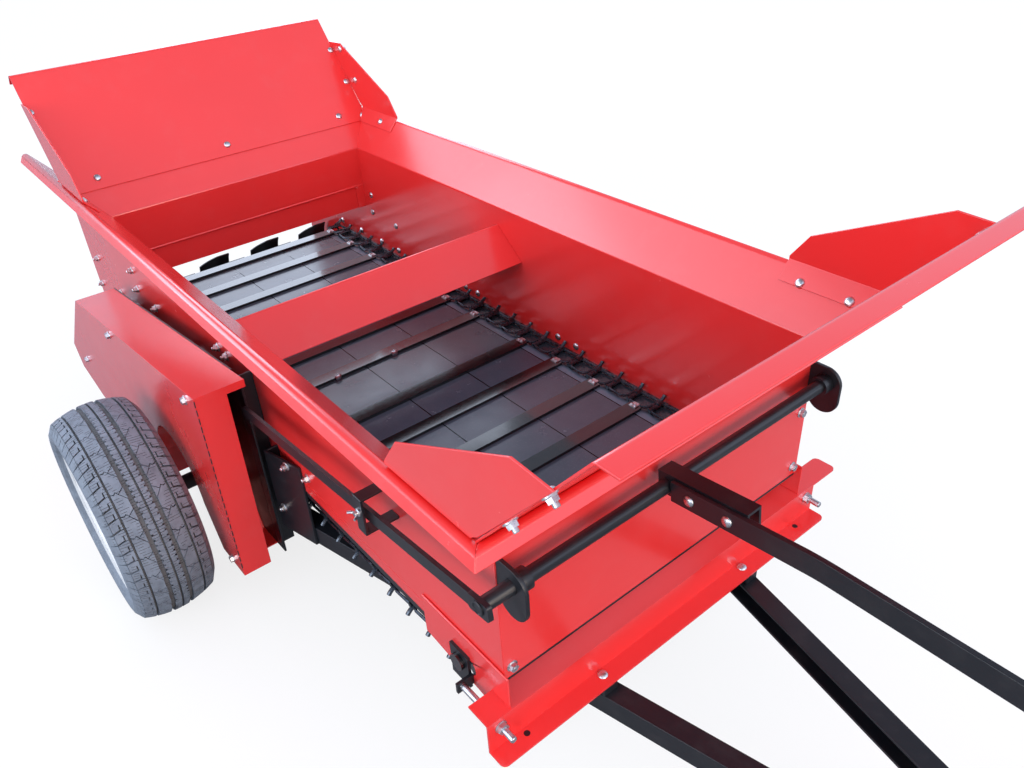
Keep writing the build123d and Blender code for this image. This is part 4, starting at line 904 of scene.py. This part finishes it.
class TOPDRESSER_OT_front_panel(bpy.types.Operator):
    """Front spill panel with a narrower top fold, in place of the CAD panel"""

    bl_idname = "topdresser.front_panel"
    bl_label = "Front panel"

    fold_reach = 34.5
    fold_steps = 6

    def execute(self, context):
        lean = math.atan2(1.0, FLARE_LEAN)
        fold = Vector((FRONT_WALL_X + (PANEL_TOP - BEND_Z) * FLARE_LEAN, PANEL_TOP))
        centre = fold + Vector((FOLD_R * math.tan(lean / 2), -FOLD_R))
        # Sheet's outer face from its bottom edge to the fold's end: point, turn of the sheet, half width
        run = []
        for z in (PANEL_FOOT, PANEL_CORNER):
            flare = (z - BEND_Z) * FLARE_LEAN
            run.append((Vector((FRONT_WALL_X + flare, z)), lean, WALL_Y - 1 + flare))
        for step in range(self.fold_steps + 1):
            turn = lean * (1 - step / self.fold_steps)
            run.append((centre + FOLD_R * Vector((-math.sin(turn), math.cos(turn))), turn, PANEL_HALF))
        run.append((fold + Vector((self.fold_reach, 0.0)), 0.0, PANEL_HALF))
        bm = bmesh.new()
        rings = []
        for point, turn, half in run:
            inner = point + SHEET * Vector((-math.sin(turn), math.cos(turn)))
            corners = ((point, -half), (point, half), (inner, half), (inner, -half))
            rings.append([bm.verts.new(Vector((spot.x, y, spot.y)) * MM) for spot, y in corners])
        skinned(bm, rings)
        made = piece("front_spill_panel", bm, "red_coat")
        round_edges(made)
        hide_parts("spill_panel_front")
        return {"FINISHED"}


class TOPDRESSER_OT_bearings(bpy.types.Operator):
    """Bearing inserts with their bolts, and the ends of the beater's shaft"""

    bl_idname = "topdresser.bearings"
    bl_label = "Bearings"

    insert = ((34, -0.5), (33, 3.5), (29, 5), (26, 4), (24, 4.6), (19, 4.6), (19, -0.5))
    shaft_end = ((0, 0.2), (12, 0.2), (12, 2.5), (10.5, 3.5), (0, 3.5))
    shaft_end_y = 426.0
    bolt_square = rectangle(-32, -32, 32, 32)

    def execute(self, context):
        bolts, inserts, ends = bmesh.new(), bmesh.new(), bmesh.new()
        for name, side in SIDES:
            out = (0, side, 0)
            for x, z in ((BEATER.x, BEATER.z), (DRIVE_X, SHAFT_Z)):
                turned(inserts, at((x, side * BEARING_Y, z), out), self.insert, 32)
                for dx, dz in self.bolt_square:
                    hex_nut(bolts, [f"shaft_bearings_{name}"], (x + dx, side * BEARING_Y, z + dz), out, 4.0)
            turned(ends, at((BEATER.x, side * self.shaft_end_y, BEATER.z), out), self.shaft_end, 20)
        piece("bearing_bolts", bolts, "zinc_plate")
        piece("bearing_inserts", inserts, "zinc_plate")
        piece("beater_shaft_ends", ends, "zinc_plate", "beater")
        return {"FINISHED"}


class TOPDRESSER_OT_control_hardware(bpy.types.Operator):
    """Bolts of the handle's channel, the arm's end plate and the wing bolt of its guide"""

    bl_idname = "topdresser.control_hardware"
    bl_label = "Control hardware"

    channel_bolts = ((735, 730), (812, 738))

    # Rounded plate at the side arm's front end: its pin, its slope, its corners' centres and their radius
    arm_pin = (679.5, -462.0, 725.0)
    arm_slope = math.radians(6.2)
    plate_corners = ((18, 8.5), (-22, 8.5), (-22, -11), (18, -11))
    plate_round = 6

    @classmethod
    def rounded(cls, x, y):
        """Points round one corner of the plate."""
        middle = math.atan2(math.copysign(1, y), math.copysign(1, x))
        arc = [on_circle(cls.plate_round, middle + math.pi / 8 * step) for step in (-2, -1, 0, 1, 2)]
        return [(x + dx, y + dy) for dx, dy in arc]

    def execute(self, context):
        bm = bmesh.new()
        for x, z in self.channel_bolts:
            dome_head(bm, ["control_handle"], (x, -70, z), (0, -1, 0))
            hex_nut(bm, ["control_shaft"], (x, -26, z), (0, 1, 0))
        piece("channel_bolts", bm, "zinc_plate", "control")
        bm = bmesh.new()
        pin = at(self.arm_pin, (0, -1, 0)) @ Matrix.Rotation(self.arm_slope, 4, "Z")
        plate = [point for corner in self.plate_corners for point in self.rounded(*corner)]
        extruded(bm, pin, plate, -7.5, 1.2, 0.6)
        turned(bm, pin, [(13, 1), (13, 3.2), (11.5, 4.2), (10, 3.8), (9.5, 2.8), (0, 2.8)], 24)
        piece("arm_end_plate", bm, "black_coat", "control")
        bm = bmesh.new()
        guide_low, guide_high = box_of("arm_guide")
        middle = (guide_low + guide_high) / 2
        wing = at((middle.x, guide_low.y, middle.z + 8), (0, -1, 0))
        turned(bm, wing, [(8, -1), (8, 2), (5.5, 3.5), (5, 9), (0, 9.5)], 14)
        for flip in (1, -1):
            bar(bm, wing, [(2 * flip, 0, 5), (7 * flip, 0, 8), (11 * flip, 0, 12), (13 * flip, 0, 16)], 2.6)
        piece("guide_wing_bolt", bm, "zinc_plate")
        return {"FINISHED"}


class TOPDRESSER_OT_sheet_trim(bpy.types.Operator):
    """Edges, cheeks, joints and hems of the sheets, the boards' ends, and painted shade in the gap under the
    front wall and in the cover's slots
    """

    bl_idname = "topdresser.sheet_trim"
    bl_label = "Sheet trim"

    cheek_inner = 372
    joint_y = 482.5
    joint_heights = (898, 1078)
    board_end_x = -1236
    hem_foot, hem_top = 438, 466
    # Slots along the cover's front bend, drawn as black bars of painted shade
    bend_top, bend_foot = Vector((-160.6, -559.4, 712)), Vector((-189.4, -559.4, 190))
    slot_pitch, slot_length = 22, 16

    def execute(self, context):
        whole = Matrix.Scale(MM, 4)
        # Rounded lower edge of the rear wall
        bm = bmesh.new()
        edge = [(REAR_WALL_X - SHEET / 2, y, GATE_TOP + 1.0) for y in (-INNER_HALF, INNER_HALF)]
        bar(bm, whole, edge, 3.8, 12)
        piece("rear_wall_edge", bm, "red_coat")
        # Cheeks beside the gate, hanging from the rear wall
        bm = bmesh.new()
        for _, side in SIDES:
            cheek = rectangle(REAR_WALL_X - SHEET, side * self.cheek_inner, REAR_WALL_X, side * WALL_Y)
            extruded(bm, whole, cheek, GATE_FOOT, GATE_TOP)
        piece("gate_cheeks", bm, "red_coat")
        # Closed joints between the spill panels and their gussets
        bm = bmesh.new()
        for _, side in SIDES:
            for _, wall_x, out in ENDS:
                flares = [(z, (z - BEND_Z) * FLARE_LEAN - 1.5) for z in self.joint_heights]
                joint = [(wall_x + out * flare, side * self.joint_y, z + 1.3) for z, flare in flares]
                bar(bm, whole, joint, 1.9)
        piece("panel_joints", bm, "red_coat")
        # Rear ends of the floor boards, thin where they reach over the drive roller
        bm = bmesh.new()
        boards_low, boards_high = box_of("floor_boards")
        end = rectangle(self.board_end_x, -INNER_HALF, boards_low.x + 0.5, INNER_HALF)
        extruded(bm, whole, end, boards_high.z - 2.5, boards_high.z)
        piece("board_ends", bm, "floor_board")
        # Each side's hem, over the upper half of the floor rail, and the rounded top edge of its lower plate
        bm = bmesh.new()
        for name, side in SIDES:
            rail_low, _ = box_of(f"floor_rail_{name}")
            plate_low, plate_high = box_of(f"lower_plate_{name}")
            hem = rectangle(rail_low.x, self.hem_foot, plate_low.x + 4, self.hem_top)
            face = moved((0, side * (WALL_Y + SHEET), 0)) @ Matrix.Rotation(math.pi / 2, 4, "X")
            low, high = (-0.5, 0.2) if side > 0 else (-0.2, 0.5)
            extruded(bm, face, hem, low, high)
            bar(bm, whole, [(x, side * 406.6, plate_high.z) for x in (plate_low.x + 1, plate_high.x)], 2.2, 10)
        piece("side_hems", bm, "red_coat")
        # Black strip of painted shade in the gap under the front wall
        bm = bmesh.new()
        wall_low, _ = box_of("hopper_front")
        strip = rectangle(wall_low.x + 0.6, -INNER_HALF, wall_low.x + 4.3, INNER_HALF)
        extruded(bm, whole, strip, wall_low.z - 5, wall_low.z + 0.5)
        piece("front_gap_shade", bm, "black_coat")
        # Black bars of painted shade in the slots along the cover's front bend
        bm = bmesh.new()
        bend = self.bend_foot - self.bend_top
        along = bend.normalized()
        for n in range(int(bend.length // self.slot_pitch)):
            start = self.bend_top + along * self.slot_pitch * n
            bar(bm, whole, [start, start + along * self.slot_length], 1.3, 6)
        piece("cover_slot_shade", bm, "black_coat")
        return {"FINISHED"}


class TOPDRESSER_OT_rods_and_pins(bpy.types.Operator):
    """Threaded take-up rods with their nuts, grease nipples, and the stand's pull pin, with painted shade in the
    stand's holes
    """

    bl_idname = "topdresser.rods_and_pins"
    bl_label = "Rods and pins"

    rod_start = (555.6, 432, 396)
    thread_pitch = 1.6
    thread_steps = 90
    rod_nuts = ((94, 103), (106.8, 117.4))
    nipple = ((4.5, -0.5), (4.5, 3), (3, 4), (2.4, 7), (3.4, 8.5), (3, 11), (0, 12))
    nipple_rise = 26
    pull_pin = ((11, -0.5), (11, 8), (7, 10), (5, 10), (5, 22), (7, 22.5), (7, 26), (0, 26))
    pull_pin_place = (STAND_X, -31.0, 380.0)
    ring_radius = 13
    stand_holes = (60, 110, 160, 210)

    def execute(self, context):
        bm = bmesh.new()
        x, y, z = self.rod_start
        for _, side in SIDES:
            rod = at((x, side * y, z), (1, 0, 0))
            thread = [(6.25 if n % 2 else 6.75, n * self.thread_pitch) for n in range(self.thread_steps)]
            turned(bm, rod, [(0, 0.0), *thread, (5.0, 143.4), (0, 143.6)], 16)
            for start, stop in self.rod_nuts:
                extruded(bm, rod, hexagon(20.5), start, stop, 0.6)
            turned(bm, rod, [(12.5, 106.6), (12.5, 108.8), (7, 108.8)], 20)
        piece("takeup_rods", bm, "zinc_plate")
        bm = bmesh.new()
        for name, side in SIDES:
            for x, z in ((BEATER.x, BEATER.z), (DRIVE_X, SHAFT_Z)):
                point = (x, side * BEARING_Y, z + self.nipple_rise)
                turned(bm, on_skin([f"shaft_bearings_{name}"], point, (0, side, 0)), self.nipple, 10)
        pin = at(self.pull_pin_place, (0, -1, 0))
        turned(bm, pin, self.pull_pin, 16)
        # The ring hangs from the pin and leans a little
        lean = 2 / self.ring_radius
        ring = [(x, y - self.ring_radius, 24 + y * lean) for x, y in circle(self.ring_radius, 20)]
        bar(bm, pin, ring, 1.7, closed=True)
        piece("pull_pin_and_nipples", bm, "zinc_plate")
        # Black discs of painted shade in the stand leg's holes
        bm = bmesh.new()
        for z in self.stand_holes:
            for _, side in SIDES:
                dark_hole(bm, ["stand_leg"], (STAND_X, side * 26, z), (0, side, 0), 7.0)
        piece("stand_holes", bm, "black_coat", "stand_leg")
        return {"FINISHED"}


class TOPDRESSER_OT_stage(bpy.types.Operator):
    """Pale floor, soft light and the camera"""

    bl_idname = "topdresser.stage"
    bl_label = "Stage"

    # Lamp name, place and aim in metres, width and height in metres, power in watts, colour
    lamps = (
        ("front_softbox", (5.2, -0.5, 1.7), (0.5, 0.0, 0.6), (2.6, 2.6), 100.0, "#FFE4C8"),
        ("side_softbox", (0.6, -4.8, 2.0), (-0.2, -0.4, 0.5), (3.2, 2.4), 98.0, "#F4F8FF"),
        ("near_reflector", (-4.7, -2.9, 3.0), (0.0, 0.0, 0.7), (4.0, 3.0), 124.0, "#E2ECFF"),
        ("far_reflector", (-4.7, 1.9, 2.4), (0.0, 0.0, 0.7), (2.6, 3.6), 97.0, "#E2ECFF"),
        ("right_reflector", (-2.8, -3.6, 2.9), (0.0, 0.0, 0.7), (4.6, 4.6), 150.0, "#E2ECFF"),
    )

    # Camera: place in metres, its right, up and back, and its focal length in picture widths
    camera_place = (1.40001, -0.92770, 1.67524)
    camera_axes = (
        (0.63304669, 0.77244285, -0.05083234),
        (-0.40006387, 0.38267031, 0.83277388),
        (0.66272226, -0.50684856, 0.55127465),
    )
    focal_widths = 851.68 / 1024.0
    sensor = 36.0

    def add_floor(self, scene):
        """A wide pale ground."""
        ground = bmesh.new()
        bmesh.ops.create_grid(ground, x_segments=8, y_segments=8, size=40.0)
        mesh = bpy.data.meshes.new("studio_floor")
        ground.to_mesh(mesh)
        ground.free()
        mesh.materials.append(studio_floor())
        floor = bpy.data.objects.new("studio_floor", mesh)
        scene.collection.objects.link(floor)

    def add_lamps(self, scene):
        """Softboxes, and reflectors that only give the paint its sheen."""
        for name, place, aim, (width, height), power, tint in self.lamps:
            data = bpy.data.lights.new(name, "AREA")
            data.shape = "RECTANGLE"
            data.size, data.size_y = width, height
            data.energy = power
            data.color = linear(tint)[:3]
            lamp = bpy.data.objects.new(name, data)
            lamp.location = place
            lamp.rotation_euler = (Vector(aim) - Vector(place)).to_track_quat("-Z", "Y").to_euler()
            lamp.visible_camera = False
            lamp.visible_diffuse = not name.endswith("reflector")
            scene.collection.objects.link(lamp)

    def add_world(self, scene):
        """White to the camera; reflections see it dim overhead and brighten towards the front."""
        world = bpy.data.worlds.new("studio")
        world.use_nodes = True
        tree = world.node_tree
        tree.nodes.clear()
        path = add_node(tree, "LightPath").outputs
        direction = add_node(tree, "TexCoord").outputs["Generated"]
        axes = add_node(tree, "SeparateXYZ", {0: direction}).outputs
        roof = remap(tree, axes["Z"], 0.35, 0.85, 1.0, 0.35)
        front = remap(tree, axes["X"], 0.15, 0.6, 0.0, 1.0)
        sheen = maths(tree, "ADD", roof, front)
        level = add_node(tree, "Mix", {0: path["Is Glossy Ray"], 2: 1.5, 3: sheen}).outputs[0]
        strength = add_node(tree, "Mix", {0: path["Is Camera Ray"], 2: level, 3: 1.0}).outputs[0]
        tone = mix(tree, path["Is Camera Ray"], linear("#DCE7FF"), (1.0, 1.0, 1.0, 1.0))
        sky = add_node(tree, "Background", {"Color": tone, "Strength": strength})
        add_node(tree, "OutputWorld", {"Surface": sky.outputs[0]})
        scene.world = world

    def add_camera(self, scene):
        """The camera of the photograph."""
        data = bpy.data.cameras.new("photo_camera")
        data.sensor_fit = "HORIZONTAL"
        data.sensor_width = self.sensor
        data.lens = self.sensor * self.focal_widths
        data.clip_start = 0.05
        camera = bpy.data.objects.new("photo_camera", data)
        turn = Matrix(self.camera_axes).transposed().to_4x4()
        camera.matrix_world = Matrix.Translation(self.camera_place) @ turn
        scene.collection.objects.link(camera)
        scene.camera = camera

    def execute(self, context):
        self.add_floor(context.scene)
        self.add_lamps(context.scene)
        self.add_world(context.scene)
        self.add_camera(context.scene)
        context.scene.view_settings.view_transform = "Standard"
        return {"FINISHED"}


class TOPDRESSER_PT_dressing(bpy.types.Panel):
    """Lists the pieces that can be built"""

    bl_idname = "TOPDRESSER_PT_dressing"
    bl_label = "Topdresser"
    bl_space_type = "VIEW_3D"
    bl_region_type = "UI"
    bl_category = "Topdresser"

    def draw(self, context):
        for operator in OPERATORS:
            self.layout.operator(operator.bl_idname)


OPERATORS = (
    TOPDRESSER_OT_coat_frame,
    TOPDRESSER_OT_tyres,
    TOPDRESSER_OT_wheel_hardware,
    TOPDRESSER_OT_apron,
    TOPDRESSER_OT_fasteners,
    TOPDRESSER_OT_front_panel,
    TOPDRESSER_OT_bearings,
    TOPDRESSER_OT_control_hardware,
    TOPDRESSER_OT_sheet_trim,
    TOPDRESSER_OT_rods_and_pins,
    TOPDRESSER_OT_stage,
)
CLASSES = (TopdresserSizes, TopdresserColours, *OPERATORS, TOPDRESSER_PT_dressing)


def register():
    """Register the classes and hang the settings on the scene."""
    for cls in CLASSES:
        bpy.utils.register_class(cls)
    bpy.types.Scene.topdresser_sizes = bpy.props.PointerProperty(type=TopdresserSizes)
    bpy.types.Scene.topdresser_colours = bpy.props.PointerProperty(type=TopdresserColours)


def unregister():
    """Take the settings and classes away again."""
    del bpy.types.Scene.topdresser_colours
    del bpy.types.Scene.topdresser_sizes
    for cls in reversed(CLASSES):
        bpy.utils.unregister_class(cls)


def main():
    """Build everything in order."""
    register()
    for operator in OPERATORS:
        getattr(bpy.ops.topdresser, operator.bl_idname.split(".")[1])()
    bpy.context.view_layer.update()


if __name__ == "__main__":
    main()
